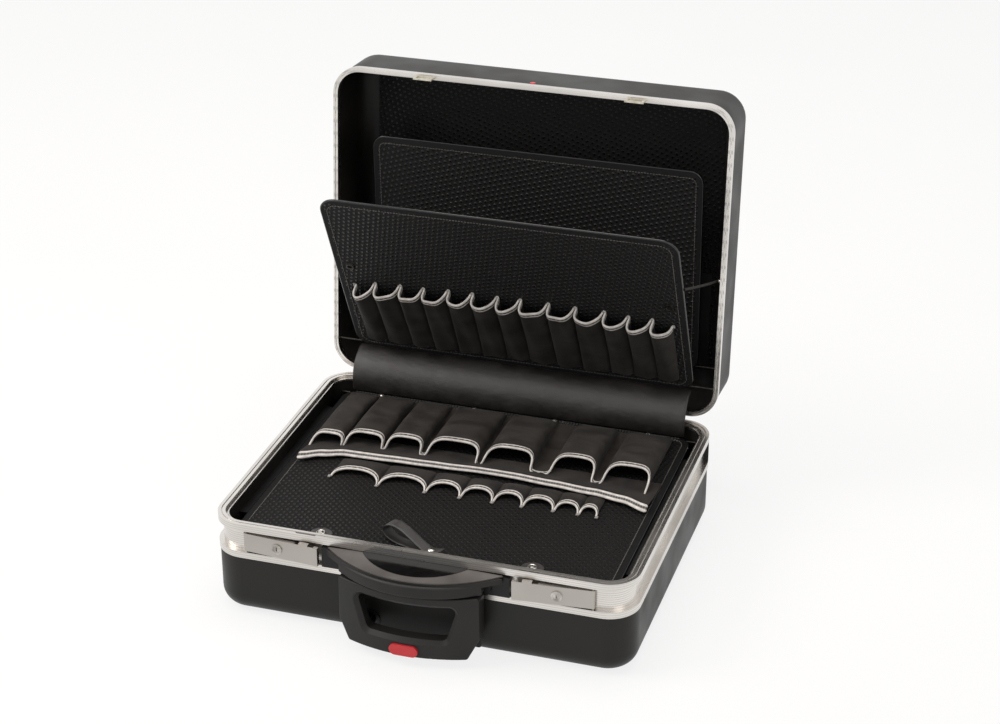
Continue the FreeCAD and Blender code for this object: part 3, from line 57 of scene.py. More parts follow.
# Camera, at the photograph's viewing angle
CAMERA_MM = (751.40, -2245.28, 1454.59)
LOOK = math.radians(17.67)
DOWN = math.radians(26.84)
ROLL = math.radians(-0.19)
camera_data = bpy.data.cameras.new("camera")
camera_data.lens = 84.58
camera_data.sensor_width = 36
camera_data.clip_end = 60
camera = bpy.data.objects.new("camera", camera_data)
scene.collection.objects.link(camera)
camera.location = Vector(CAMERA_MM) * MM
aside = Matrix.Rotation(LOOK, 3, "Z")
tilted = Matrix.Rotation(math.pi / 2 - DOWN, 3, "X")
rolled = Matrix.Rotation(ROLL, 3, "Z")
camera.rotation_euler = (aside @ tilted @ rolled).to_euler()
scene.camera = camera


def srgb(code):
    """A hex colour as the linear values that the shaders want."""
    parts = [int(code[i:i + 2], 16) / 255 for i in (0, 2, 4)]
    return tuple(c / 12.92 if c <= 0.04045 else ((c + 0.055) / 1.055) ** 2.4 for c in parts) + (1.0,)


def per_mm(size):
    """The texture scale at which one repeat of a pattern is this many millimetres."""
    return 1 / (size * MM)


def add(tree, kind, links=(), **settings):
    """A node with its settings, and its inputs linked or filled."""
    node = tree.nodes.new(kind)
    for name, setting in settings.items():
        setattr(node, name, setting)
    for socket, source in dict(links).items():
        if isinstance(source, bpy.types.NodeSocket):
            tree.links.new(source, node.inputs[socket])
        else:
            node.inputs[socket].default_value = source
    return node


def new_material(name, colour, roughness, metallic=0.0, **more):
    """A material with its shader's uniform values set on the shader itself."""
    material = bpy.data.materials.new(name)
    material.use_nodes = True
    tree = material.node_tree
    shader = tree.nodes["Principled BSDF"]
    shader.inputs["Base Color"].default_value = srgb(colour)
    shader.inputs["Roughness"].default_value = roughness
    shader.inputs["Metallic"].default_value = metallic
    for socket, setting in more.items():
        shader.inputs[socket.replace("_", " ")].default_value = setting
    return material, tree, shader


def vary(tree, shader, where, low, high, size, low_rough, high_rough):
    """Colour and roughness that drift a little over the surface."""
    cloud = add(tree, "ShaderNodeTexNoise", {"Vector": where, "Scale": per_mm(size), "Detail": 2.0})
    spread = add(tree, "ShaderNodeMapRange", {0: cloud.outputs["Fac"], 1: 0.35, 2: 0.65})
    tint = add(tree, "ShaderNodeMix", {0: spread.outputs[0], 6: srgb(low), 7: srgb(high)}, data_type="RGBA")
    tree.links.new(tint.outputs[2], shader.inputs["Base Color"])
    rough = add(tree, "ShaderNodeMapRange", {0: spread.outputs[0], 3: low_rough, 4: high_rough})
    tree.links.new(rough.outputs[0], shader.inputs["Roughness"])
    return cloud, tint


# The wave texture repeats every tenth of pi at scale 1
WAVE = math.pi / 10


def bump(tree, shader, height, depth, strength=1.0, under=None):
    """Relief of a real depth in millimetres."""
    links = {"Height": height, "Distance": depth * MM, "Strength": strength}
    if under:
        links["Normal"] = under.outputs["Normal"]
    node = add(tree, "ShaderNodeBump", links)
    tree.links.new(node.outputs["Normal"], shader.inputs["Normal"])
    return node


def moulded_abs(name, colour, low, high, grain, rough=0.45):
    """Injection-moulded ABS: dull, with a fine spark-eroded grain and faint handling marks."""
    material, tree, shader = new_material(name, colour, rough, IOR=1.5, Specular_IOR_Level=0.3)
    where = add(tree, "ShaderNodeTexCoord").outputs["Object"]
    vary(tree, shader, where, low, high, 60, rough - 0.05, rough + 0.08)
    pits = add(tree, "ShaderNodeTexVoronoi", {"Vector": where, "Scale": per_mm(grain)})
    bump(tree, shader, pits.outputs["Distance"], 0.05, 0.6)
    return material


GROOVE_PITCH = 2.7
GROOVE_TONE = "77736f"


def drawn_aluminium(name, colour, other, roughness, turn=(0, 0, 0)):
    """Drawn aluminium with a satin anodised skin.

    The die leaves fine lines along it, drawn coarser here than real ones so that they show.
    """
    material, tree, shader = new_material(name, colour, roughness, metallic=1.0)
    where = add(tree, "ShaderNodeTexCoord").outputs["Object"]
    _, tint = vary(tree, shader, where, colour, other, 120, roughness - 0.03, roughness + 0.05)
    lines = add(tree, "ShaderNodeMapping", {"Vector": where, "Rotation": turn}).outputs["Vector"]
    groove = add(tree, "ShaderNodeTexWave", {"Vector": lines, "Scale": per_mm(GROOVE_PITCH) * WAVE},
                 bands_direction="Z")
    depth = add(tree, "ShaderNodeMapRange", {0: groove.outputs["Fac"], 1: 0.0, 2: 0.35, 3: 0.35, 4: 0.0})
    lined = add(tree, "ShaderNodeMix", {0: depth.outputs[0], 6: tint.outputs[2], 7: srgb(GROOVE_TONE)},
                data_type="RGBA")
    tree.links.new(lined.outputs[2], shader.inputs["Base Color"])
    bump(tree, shader, groove.outputs["Fac"], 0.06, 0.25)
    return material


def plain_metal(name, colour, other, roughness, patch=8, scratch=0.03):
    """Pressed or turned metal, plated or anodised: a dull polish with faint marks."""
    material, tree, shader = new_material(name, colour, roughness, metallic=1.0)
    where = add(tree, "ShaderNodeTexCoord").outputs["Object"]
    cloud, _ = vary(tree, shader, where, colour, other, patch, roughness - 0.04, roughness + 0.07)
    bump(tree, shader, cloud.outputs["Fac"], scratch, 0.2)
    return material


def smooth_plastic(name, colour, other, roughness, grain=1.2):
    """Smooth moulded plastic or rubber with very faint flow marks."""
    material, tree, shader = new_material(name, colour, roughness, IOR=1.5)
    where = add(tree, "ShaderNodeTexCoord").outputs["Object"]
    vary(tree, shader, where, colour, other, 30, roughness - 0.04, roughness + 0.06)
    fine = add(tree, "ShaderNodeTexNoise", {"Vector": where, "Scale": per_mm(grain), "Detail": 2.0})
    bump(tree, shader, fine.outputs["Fac"], 0.02, 0.3)
    return material


BEAD_PITCH = 6.9
BEAD_TURN = 17.5


def embossed_sheet(name, turn, shift, field=None, shine=0.33):
    """Vacuum-formed ABS sheet pressed with staggered beads: glossy crowns with painted light on a dull dark
    ground with painted shade in the hollows.

    The field gives, for each axis that has a margin, the beads' middle and how far they reach from it.
    """
    material, tree, shader = new_material(name, "1b1918", 0.3, IOR=1.5, Specular_IOR_Level=shine)
    where = add(tree, "ShaderNodeTexCoord").outputs["Object"]
    laid = add(tree, "ShaderNodeMapping", {"Vector": where, "Location": shift, "Rotation": turn})
    flat = laid.outputs["Vector"]
    _, tint = vary(tree, shader, flat, "161413", "201d1b", 70, 0.24, 0.36)
    # Three waves, 60 degrees apart, meet at the beads
    reach = 4 * math.pi / (math.sqrt(3) * BEAD_PITCH * MM)
    total = 0.0
    for number in range(3):
        way = math.radians(BEAD_TURN + 30 + 60 * number)
        line = (reach * math.cos(way), reach * math.sin(way), 0)
        run = add(tree, "ShaderNodeVectorMath", {0: flat, 1: line}, operation="DOT_PRODUCT").outputs["Value"]
        wave = add(tree, "ShaderNodeMath", {0: run}, operation="COSINE").outputs[0]
        total = add(tree, "ShaderNodeMath", {0: wave, 1: total}).outputs[0]
    rounded = add(tree, "ShaderNodeMapRange", {0: total, 1: 0.0, 2: 2.4}, interpolation_type="SMOOTHSTEP")
    crown = rounded.outputs[0]
    if field:
        # A smooth margin round the beads, where the sheet is sewn to its edge binding
        cell = add(tree, "ShaderNodeSeparateXYZ", {0: flat})
        for axis, middle, half in field:
            away = add(tree, "ShaderNodeMath", {0: cell.outputs[axis], 1: middle * MM}, operation="SUBTRACT")
            away = add(tree, "ShaderNodeMath", {0: away.outputs[0]}, operation="ABSOLUTE")
            inside = add(tree, "ShaderNodeMath", {0: away.outputs[0], 1: half * MM}, operation="LESS_THAN")
            kept = add(tree, "ShaderNodeMath", {0: crown, 1: inside.outputs[0]}, operation="MULTIPLY")
            crown = kept.outputs[0]
    # Painted light and shade: the bead crowns take the lighter drifting colour, and the hollows between beads
    # and the smooth margin take the dark one
    shade = add(tree, "ShaderNodeMix", {0: crown, 6: srgb("060505"), 7: tint.outputs[2]}, data_type="RGBA")
    tree.links.new(shade.outputs[2], shader.inputs["Base Color"])
    gloss = add(tree, "ShaderNodeMapRange", {0: crown, 1: 0.0, 2: 0.7, 3: 0.75, 4: 0.24})
    tree.links.new(gloss.outputs[0], shader.inputs["Roughness"])
    bump(tree, shader, crown, 1.1, 1.0)
    return material


def woven_nylon(name, low, high, thread=0.9, roughness=0.8, shine=0.25):
    """Plain-weave nylon on its own cut: threads over and under, a soft sheen and small creases."""
    material, tree, shader = new_material(name, low, roughness, Sheen_Weight=0.05, Sheen_Roughness=0.4,
                                          Specular_IOR_Level=shine)
    where = add(tree, "ShaderNodeTexCoord").outputs["UV"]
    vary(tree, shader, where, low, high, 25, roughness - 0.1, roughness + 0.05)
    bands = []
    for way in ("X", "Y"):
        threads = {"Vector": where, "Scale": per_mm(thread) * WAVE, "Distortion": 0.3}
        wave = add(tree, "ShaderNodeTexWave", threads, bands_direction=way)
        bands.append(wave.outputs["Fac"])
    weave = add(tree, "ShaderNodeMath", {0: bands[0], 1: bands[1]}, operation="MULTIPLY")
    crease = add(tree, "ShaderNodeTexNoise", {"Vector": where, "Scale": per_mm(14), "Detail": 3.0})
    first = bump(tree, shader, crease.outputs["Fac"], 1.4, 0.5)
    bump(tree, shader, weave.outputs[0], 0.15, 0.7, under=first)
    return material


TAPE_WIDTH = 7.4
TAPE_SEAM = 3.7
TAPE_THICKNESS = 2.6


def grosgrain_tape(name, colour, shade, thread):
    """Ribbed grey binding tape, folded over the cloth's edge and sewn down with a dark thread, whose seam
    band also carries painted shade between the stitches.
    """
    material, tree, shader = new_material(name, colour, 0.6, Sheen_Weight=0.2, Sheen_Roughness=0.3)
    where = add(tree, "ShaderNodeTexCoord").outputs["UV"]
    _, tint = vary(tree, shader, where, colour, shade, 6, 0.5, 0.7)
    across = add(tree, "ShaderNodeSeparateXYZ", {0: where})
    off = add(tree, "ShaderNodeMath", {0: across.outputs["Y"], 1: TAPE_SEAM * MM}, operation="SUBTRACT")
    off = add(tree, "ShaderNodeMath", {0: off.outputs[0]}, operation="ABSOLUTE")
    seam = add(tree, "ShaderNodeMapRange", {0: off.outputs[0], 1: 0.8 * MM, 2: 1.5 * MM, 3: 1.0, 4: 0.0})
    dash = add(tree, "ShaderNodeTexWave", {"Vector": where, "Scale": per_mm(3.2) * WAVE}, bands_direction="X")
    # Between stitches the seam band stays three quarters dark: painted shade along the tape's middle
    gate = add(tree, "ShaderNodeMapRange", {0: dash.outputs["Fac"], 1: 0.15, 2: 0.45, 3: 0.75, 4: 1.0})
    stitch_and_painted_shade = add(tree, "ShaderNodeMath", {0: seam.outputs[0], 1: gate.outputs[0]}, operation="MULTIPLY")
    sewn = add(tree, "ShaderNodeMix", {0: stitch_and_painted_shade.outputs[0], 6: tint.outputs[2], 7: srgb(thread)},
               data_type="RGBA")
    tree.links.new(sewn.outputs[2], shader.inputs["Base Color"])
    rib = add(tree, "ShaderNodeTexWave", {"Vector": where, "Scale": per_mm(0.8) * WAVE}, bands_direction="X")
    first = bump(tree, shader, rib.outputs["Fac"], 0.12, 0.6)
    dip = add(tree, "ShaderNodeMath", {0: 1.0, 1: stitch_and_painted_shade.outputs[0]}, operation="SUBTRACT")
    bump(tree, shader, dip.outputs[0], 0.5, 0.8, under=first)
    return material


# Places that the frame gives
joint_at = {joint["name"]: Vector(joint["pos_m"]) for joint in frame["joints"] if "pos_m" in joint}
FRONT_TILT = math.radians(115.8)
REAR_TILT = math.radians(91.8)
LID_TILT = math.radians(-95)
FRONT = Matrix.Translation(joint_at["front_board_fold"]) @ Matrix.Rotation(FRONT_TILT, 4, "X")
REAR = Matrix.Translation(joint_at["rear_board_fold"]) @ Matrix.Rotation(REAR_TILT, 4, "X")
LID = Matrix.Translation(joint_at["lid_hinge"]) @ Matrix.Rotation(LID_TILT, 4, "X")
BASE = Matrix.Identity(4)
BOARD_TOP = 100.0
BOARD_FACE = 1.6

shell_abs = moulded_abs("moulded_abs_shell", "181614", "151412", "1b1917", 1.1)
inner_abs = moulded_abs("moulded_abs_fittings", "131212", "100f0f", "171616", 1.4, 0.4)
grip_abs = moulded_abs("moulded_nylon_grip", "1e1d1c", "191817", "242221", 0.8, 0.5)
rim_aluminium = drawn_aluminium("drawn_aluminium_rim", "e6e2dd", "d2cec9", 0.26)
lid_aluminium = drawn_aluminium("drawn_aluminium_lid_rim", "e6e2dd", "d2cec9", 0.26, (LID_TILT, 0, 0))
latch_aluminium = plain_metal("pressed_aluminium_latch", "b4afa9", "aca7a1", 0.38, 90, 0.01)
tube_aluminium = drawn_aluminium("black_anodised_tube", "2b2a29", "201f1e", 0.35)
steel = plain_metal("nickel_plated_steel", "c4c1bb", "98948d", 0.26)
dark_steel = plain_metal("black_oxide_steel", "2c2a28", "413e3b", 0.38)
striker_steel = plain_metal("zinc_plated_striker", "d9d3c4", "bab3a2", 0.32)
silver_paint = smooth_plastic("silver_painted_abs", "4b4744", "56524f", 0.4)
plate_gloss = smooth_plastic("gloss_black_plate", "0c0b0b", "100f0f", 0.14)
red_abs = smooth_plastic("red_abs_button", "c4232c", "d02f36", 0.3)
tyre_rubber = smooth_plastic("tyre_rubber", "161515", "1d1c1b", 0.7, 0.7)
vinyl = smooth_plastic("black_vinyl_piping", "0c0b0b", "121111", 0.15)


def flattening(place):
    """The mapping that carries a tilted board's points back to its own plane."""
    back = place.inverted()
    return back.to_euler()[:], back.translation[:]


base_emboss = embossed_sheet("embossed_sheet_base", (0, 0, 0), (0, 0, 0), (("X", 0, 214), ("Y", 0.5, 173)),
                             0.2)
front_emboss = embossed_sheet("embossed_sheet_front", *flattening(FRONT),
                              (("X", 0, 209), ("Y", 129, 129)))
rear_emboss = embossed_sheet("embossed_sheet_rear", *flattening(REAR), (("X", 0, 200), ("Y", 126, 125)))
liner_emboss = embossed_sheet("embossed_sheet_liner", *flattening(LID))
nylon = woven_nylon("woven_black_nylon", "191614", "2c2825")
# A lighter copy of the pocket nylon for the wide pockets on the base board: painted light
painted_lit_nylon = woven_nylon("woven_black_nylon_painted_lighter", "211d1a", "38332f")
flap_nylon = woven_nylon("coated_flap_nylon", "211e1c", "2c2826", 0.7, 0.4, 0.6)
tape = grosgrain_tape("grosgrain_binding", "e0dbd6", "c4bfba", "2b2927")
thread = smooth_plastic("polyester_thread", "5a5755", "6e6b68", 0.6)
tack_thread = smooth_plastic("tack_thread", "a3a09c", "85827f", 0.55)

FINISHES = {
    shell_abs: ("base_shell", "lid_shell"),
    inner_abs: (
        "board_rail_front", "board_rail_left", "board_rail_right", "hinge_block_left", "hinge_block_right",
        "handle_mount", "tube_collars", "wheel_hub_left", "wheel_hub_right", "document_pocket",
    ),
    grip_abs: ("carry_handle", "pull_grip"),
    rim_aluminium: ("base_frame",),
    lid_aluminium: ("lid_frame",),
    latch_aluminium: ("latch_lever_left", "latch_lever_right"),
    tube_aluminium: ("guide_tubes", "middle_tubes", "inner_tubes"),
    steel: (
        "base_hinge_leaf_left", "base_hinge_leaf_right", "lid_hinge_leaf_left", "lid_hinge_leaf_right",
        "hinge_pins", "latch_pins", "lock_barrel_left", "lock_barrel_right", "lock_plug_left",
        "lock_plug_right", "wheel_axles", "board_snaps", "strap_rivet", "cord_pin",
    ),
    dark_steel: ("base_board_pins", "front_board_pins", "rear_board_pins", "eyelets"),
    striker_steel: ("striker_left", "striker_right"),
    base_emboss: ("base_board",),
    front_emboss: ("front_board",),
    rear_emboss: ("rear_board",),
    liner_emboss: ("lid_liner",),
    silver_paint: ("handle_shield",),
    plate_gloss: ("handle_plate",),
    red_abs: ("pull_button", "lid_cap"),
    tyre_rubber: ("wheel_tyre_left", "wheel_tyre_right"),
    nylon: ("wide_pockets", "small_pockets", "flat_pocket", "front_pockets", "rear_pockets", "front_tabs",
            "pull_strap", "check_cord"),
    flap_nylon: ("hinge_flap",),
}
for finish, names in FINISHES.items():
    for name in names:
        slots = nodes[name].data.materials
        slots.clear()
        slots.append(finish)


def make_piece(name, shape, material, body, stands_for=()):
    """An object from a bmesh, riding on its body, in place of the nodes that it stands for."""
    data = bpy.data.meshes.new(name)
    shape.to_mesh(data)
    shape.free()
    data.materials.append(material)
    data.shade_smooth()
    data.set_sharp_from_angle(angle=math.radians(40))
    piece = bpy.data.objects.new(name, data)
    scene.collection.objects.link(piece)
    if body:
        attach(piece, body)
    if stands_for:
        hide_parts(*stands_for)
    return piece


def thicken(piece, thickness):
    """Cloth of a real thickness, smoothed."""
    wall = piece.modifiers.new("thickness", "SOLIDIFY")
    wall.thickness = thickness * MM
    wall.offset = 0
    smooth = piece.modifiers.new("smoothing", "SUBSURF")
    smooth.levels = smooth.render_levels = 1
    return piece


def cut_cloth(surface, across, along, width, length):
    """A rectangle of cloth with its UV map in metres of cloth, carried to its place point by point."""
    cloth = bmesh.new()
    cut = cloth.loops.layers.uv.new("cut")
    bmesh.ops.create_grid(cloth, x_segments=across, y_segments=along, size=0.5)
    for face in cloth.faces:
        for corner in face.loops:
            spot = corner.vert.co
            corner[cut].uv = ((spot.x + 0.5) * width * MM, (spot.y + 0.5) * length * MM)
    for vertex in cloth.verts:
        vertex.co = surface(vertex.co.x + 0.5, vertex.co.y + 0.5)
    return cloth


def through(points, across):
    """A smooth line through given points, read at one place across."""
    if across <= points[0][0]:
        return points[0][1]
    for (left, low), (right, high) in zip(points, points[1:]):
        if across <= right:
            share = (across - left) / (right - left)
            return low + (high - low) * share * share * (3 - 2 * share)
    return points[-1][1]


STEPS = 16
FLOOR_SHARE = 0.125


def arch(share, feet, sharp):
    """Which pocket a share of the row falls in, its place across, and how far it has risen there."""
    number = min(int(share * len(feet)), len(feet) - 1)
    inner = share * len(feet) - number
    left, right = feet[number]
    last = number == len(feet) - 1
    rising = 1.0 if last else 1 - FLOOR_SHARE
    if inner <= rising:
        angle = math.pi * inner / rising
        power = 2 / sharp
        swing = math.copysign(abs(math.cos(angle)) ** power, math.cos(angle))
        return number, (left + right) / 2 - (right - left) / 2 * swing, abs(math.sin(angle)) ** power
    beyond = feet[number + 1][0]
    return number, right + (beyond - right) * (inner - rising) / (1 - rising), 0.0


# Row of seven wide pockets: feet across, height, and where valley and crest of the mouth lie
WIDE_FEET = ((-210, -174), (-171, -126), (-121, -78), (-70, -8), (0, 58), (82, 133), (146, 200))
WIDE_HEIGHTS = (14, 16, 16.5, 17, 17.5, 17.5, 17.5)
WIDE_VALLEYS = ((-210, 18), (-172, 32), (-123, 40), (-74, 40), (-4, 36), (70, 38), (139, 35), (200, 25))
WIDE_CRESTS = (39, 49, 52, 60, 62, 64, 62)
WIDE_BACK = 165


def wide_row(share, up):
    """Cloth that stands in flat-topped arches at the mouth and sinks to the board at the back."""
    number, across, rise = arch(share, WIDE_FEET, 3.6)
    valley = through(WIDE_VALLEYS, across)
    mouth = valley + (WIDE_CRESTS[number] - valley) * rise
    along = mouth + (WIDE_BACK - mouth) * up
    back = max(up, 0.0)
    height = WIDE_HEIGHTS[number] * rise * (0.92 + 0.08 * min(back / 0.06, 1) - 0.8 * back ** 1.9)
    fold = 0.9 * math.sin(across / 7 + along / 17) * math.sin(math.pi * min(back, 1)) * rise
    lean = 3.0 * rise * (1 - back)
    return Vector((across + lean, along, BOARD_TOP + 1.9 + height + fold)) * MM


SMALL_FEET = ((-160, -102), (-100, -44), (-42, -2), (0, 37), (39, 72), (74, 109), (111, 138), (140, 160))
SMALL_HEIGHTS = (7.6, 8, 7.8, 7.8, 7.8, 7.4, 6.8, 6)
SMALL_VALLEYS = ((-161, -38), (-101, -43), (-43, -41), (-1, -41), (38, -40), (73, -39), (110, -38),
                 (139, -37), (161, -37))


def small_row(share, up):
    """Round arches over the board whose backs run in under the flat pocket."""
    number, across, rise = arch(share, SMALL_FEET, 2.3)
    valley, crest, end = through(SMALL_VALLEYS, across), -22, 8
    mouth = valley + (crest - valley) * rise
    along = mouth + (end - mouth) * up
    back = max(up, 0.0)
    height = SMALL_HEIGHTS[number] * rise * (0.76 + 0.28 * min(back / 0.19, 1) - 0.79 * back ** 1.6)
    return Vector((across, along, BOARD_TOP + 0.9 + height)) * MM


FLAT_WIDTH = 425
FLAT_LENGTH = 50
BAND_LINE = ((-211, -12), (-185, 3), (-161, 12), (-120, 12), (-80, 14), (-43, 17), (0, 19), (43, 18),
             (95, 15), (143, 9), (180, 2), (213, -11))


def flat_row(share, up):
    """The flat pocket's panel, whose bound mouth waves a little and stands clear of the board."""
    across = -212 + FLAT_WIDTH * share
    mouth = through(BAND_LINE, across) - 2.5
    along = mouth + (62 - mouth) * up
    back = max(up, 0.0)
    lift = (3.4 + 4.8 * min(back / 0.16, 1)) * (1 - min(max(back - 0.16, 0.0) / 0.7, 1.0)) ** 1.8
    wave = 0.5 * math.sin(across / 21) * (1 - min(back, 1.0))
    return Vector((across, along, BOARD_TOP + 0.9 + lift + wave)) * MM


# Thirteen pockets on the front lid board: where each seam meets the mouth, and how high
FRONT_SEAMS = (
    (-196.4, 117), (-169.8, 121.9), (-137.4, 124.4), (-108.2, 124.5), (-76.3, 127), (-46.2, 127.4),
    (-15.1, 127), (13.5, 128.1), (47.9, 127.5), (80.8, 126.7), (115.9, 126.4), (144.6, 122.9), (173.4, 123.3),
    (199.2, 117.5),
)
FRONT_FEET = tuple((left[0] + 2.6, right[0] - 0.8) for left, right in zip(FRONT_SEAMS, FRONT_SEAMS[1:]))
LEAN = 5.0


def hanging_row(place, seams, feet, foot, bulge, sag):
    """Pockets that hang on a lid board and swell outward to their scalloped mouths."""
    def surface(share, up):
        number, across, rise = arch(share, feet, 2.5)
        left, right = feet[number]
        if left < across < right:
            # The mouths lean left, so each crest comes before its middle
            across = left + (right - left) * ((across - left) / (right - left)) ** 1.3 - LEAN * rise
        mouth = through(seams, across) - sag * rise
        along = foot + (mouth - foot) * up
        swell = bulge * rise * (0.42 + 0.58 * max(up, 0.0) ** 1.4)
        fold = 1.3 * math.sin(across / 4.2 + along / 31) * rise
        return place @ (Vector((across, along, BOARD_FACE + 0.9 + swell + fold)) * MM)
    return surface


front_row = hanging_row(FRONT, FRONT_SEAMS, FRONT_FEET, 14, 13.0, 10)
REAR_SEAMS = ((-184, 94), (-111, 96), (-37, 96), (37, 96), (111, 96), (184, 94))
REAR_FEET = tuple((left[0] + 0.6, right[0] - 0.6) for left, right in zip(REAR_SEAMS, REAR_SEAMS[1:]))
rear_row = hanging_row(REAR, REAR_SEAMS, REAR_FEET, 10, 8.5, 7)

# Each row: its surface, pockets, rows of faces, cut size, which end is the mouth, cloth and body
ROWS = (
    # The wide pockets wear the lighter nylon copy: painted light
    ("wide_pocket", wide_row, len(WIDE_FEET), 14, (560, 125), "low", painted_lit_nylon, "base_board"),
    ("small_pocket", small_row, len(SMALL_FEET), 6, (420, 40), "low", nylon, "base_board"),
    ("front_pocket", front_row, len(FRONT_FEET), 12, (560, 110), "high", nylon, "lid_front_board"),
    ("rear_pocket", rear_row, len(REAR_FEET), 10, (420, 85), "high", nylon, "lid_rear_board"),
)
CLOTH_THICKNESS = 1.2
for name, surface, pockets, along, (width, length), mouth, material, body in ROWS:
    cloth = cut_cloth(surface, pockets * STEPS, along, width, length)
    thicken(make_piece(name + "_cloth", cloth, material, body, (name + "s",)), CLOTH_THICKNESS)
    tape_share = TAPE_WIDTH / length
    low, high = (-0.008, tape_share) if mouth == "low" else (1.0 - tape_share, 1.006)

    def edge(share, up, surface=surface, low=low, high=high):
        return surface(share, low + (high - low) * up)

    binding = cut_cloth(edge, pockets * STEPS, 3, width, TAPE_WIDTH)
    thicken(make_piece(name + "_binding", binding, tape, body), TAPE_THICKNESS)


def flat_edge(share, up):
    """The strip of the flat pocket that its tape covers."""
    return flat_row(share, (up * 1.02 - 0.02) * TAPE_WIDTH / FLAT_LENGTH)


cloth = cut_cloth(flat_row, 72, 12, FLAT_WIDTH, FLAT_LENGTH)
thicken(make_piece("flat_pocket_cloth", cloth, nylon, "base_board", ("flat_pocket",)), CLOTH_THICKNESS)
cloth = cut_cloth(flat_edge, 72, 3, FLAT_WIDTH, TAPE_WIDTH)
thicken(make_piece("flat_pocket_binding", cloth, tape, "base_board"), TAPE_THICKNESS)

# Soft flap that rolls from the base board's back edge up to the front lid board
flap_top = FRONT @ (Vector((0, -5.6, 0)) * MM)
flap_low = Vector((0, 176, BOARD_TOP + 1.6)) * MM
FLAP_HALF = 212
FLAP_LENGTH = 70


def flap_roll(share, up):
    """The flap's smooth outward roll between its two sewn edges."""
    line = flap_low.lerp(flap_top, up)
    out = Vector((0, -(flap_top - flap_low).z, (flap_top - flap_low).y)).normalized()
    swell = 15 * math.sin(math.pi * up) ** 0.8 + 0.4 * math.sin(share * 23) * math.sin(math.pi * up)
    return line + out * swell * MM + Vector(((share * 2 - 1) * FLAP_HALF * MM, 0, 0))


cloth = cut_cloth(flap_roll, 60, 14, 2 * FLAP_HALF, FLAP_LENGTH)
flap = thicken(make_piece("flap_cloth", cloth, flap_nylon, "", ("hinge_flap",)), 2.0)
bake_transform(flap)

# Check cord drawn tight from the front board's edge to its pin on the lid's wall, with a very slight sag
CORD_START = FRONT @ (Vector((215.8, 182, 0)) * MM)
CORD_MIDDLE = Vector((224.9, 174.9, 303.7)) * MM
CORD_END = LID @ (Vector((234.0, -174.9, 11.25)) * MM)
line = bpy.data.curves.new("check_cord_line", "CURVE")
line.dimensions = "3D"
spline = line.splines.new("NURBS")
spline.points.add(2)
for place, point in zip((CORD_START, CORD_MIDDLE, CORD_END), spline.points):
    point.co = (*place, 1.0)
spline.order_u = 3
spline.use_endpoint_u = True
line.bevel_depth = 1.5 * MM
line.bevel_resolution = 4
cord = bpy.data.objects.new("check_cord_braid", line)
scene.collection.objects.link(cord)
line.materials.append(nylon)
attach(cord, "lid")
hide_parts("check_cord")


def merge(shape, part):
    """Adds one bmesh to another and lets it go."""
    data = bpy.data.meshes.new("part")
    part.to_mesh(data)
    part.free()
    shape.from_mesh(data)
    bpy.data.meshes.remove(data)


def rounded_outline(left, right, low, high, corner):
    """The points round a rectangle with rounded corners, in order."""
    plate = bmesh.new()
    spread = Matrix.Diagonal(((right - left) / 2, (high - low) / 2, 1, 1))
    middle = Matrix.Translation(((left + right) / 2, (low + high) / 2, 0))
    bmesh.ops.create_grid(plate, x_segments=1, y_segments=1, size=1, matrix=middle @ spread)
    bmesh.ops.bevel(plate, geom=plate.verts[:], offset=corner, segments=10, profile=0.5, affect="VERTICES",
                    material=-1)
    points = [Vector((v.co.x, v.co.y, 0)) for face in plate.faces for v in face.verts]
    plate.free()
    return points


def ring_slab(shape, reach, corner, outer, inner, low, high):
    """A flat band between two insets of a rounded rectangle, as thick as from low to high."""
    band = bmesh.new()
    spread = Matrix.Diagonal((reach[0] - outer, reach[1] - outer, 1, 1))
    lifted = Matrix.Translation((0, 0, low))
    bmesh.ops.create_grid(band, x_segments=1, y_segments=1, size=1, matrix=lifted @ spread)
    bmesh.ops.bevel(band, geom=band.verts[:], offset=corner - outer, segments=10, profile=0.5,
                    affect="VERTICES", material=-1)
    middle = band.faces[:]
    bmesh.ops.inset_region(band, faces=middle, thickness=inner - outer, use_boundary=True,
                           use_even_offset=True)
    bmesh.ops.delete(band, geom=middle, context="FACES_ONLY")
    extruded = bmesh.ops.extrude_face_region(band, geom=band.faces[:])["geom"]
    raised = [v for v in extruded if isinstance(v, bmesh.types.BMVert)]
    bmesh.ops.translate(band, verts=raised, vec=(0, 0, high - low))
    bmesh.ops.recalc_face_normals(band, faces=band.faces[:])
    band.transform(Matrix.Diagonal((MM, MM, MM, 1)))
    merge(shape, band)


def welt(name, points, radius, material, body):
    """A round welt along a closed line of points."""
    line = bpy.data.curves.new(name + "_line", "CURVE")
    line.dimensions = "3D"
    line.bevel_depth = radius * MM
    line.bevel_resolution = 3
    spline = line.splines.new("POLY")
    spline.points.add(len(points) - 1)
    for place, point in zip(points, spline.points):
        point.co = (*place, 1.0)
    spline.use_cyclic_u = True
    guide = bpy.data.objects.new(name + "_guide", line)
    scene.collection.objects.link(guide)
    bpy.context.view_layer.update()
    data = bpy.data.meshes.new_from_object(guide)
    bpy.data.objects.remove(guide)
    shape = bmesh.new()
    shape.from_mesh(data)
    return make_piece(name, shape, material, body)


STITCH_PITCH = 3.6
STITCH_LENGTH = 2.4


def stitches(name, lines, body):
    """Short raised stitches along lines of points that lie on a board."""
    shape = bmesh.new()
    for points, up in lines:
        run = 0.0
        for start, end in zip(points, points[1:]):
            span = (end - start).length
            along = (end - start).normalized()
            across = up.cross(along)
            while run < span:
                turn = Matrix((along, across, up)).transposed().to_4x4()
                size = Matrix.Diagonal((STITCH_LENGTH * MM, 0.7 * MM, 0.6 * MM, 1))
                place = Matrix.Translation(start + along * run)
                bmesh.ops.create_cube(shape, size=1, matrix=place @ turn @ size)
                run += STITCH_PITCH * MM
            run -= span
    return make_piece(name, shape, thread, body)


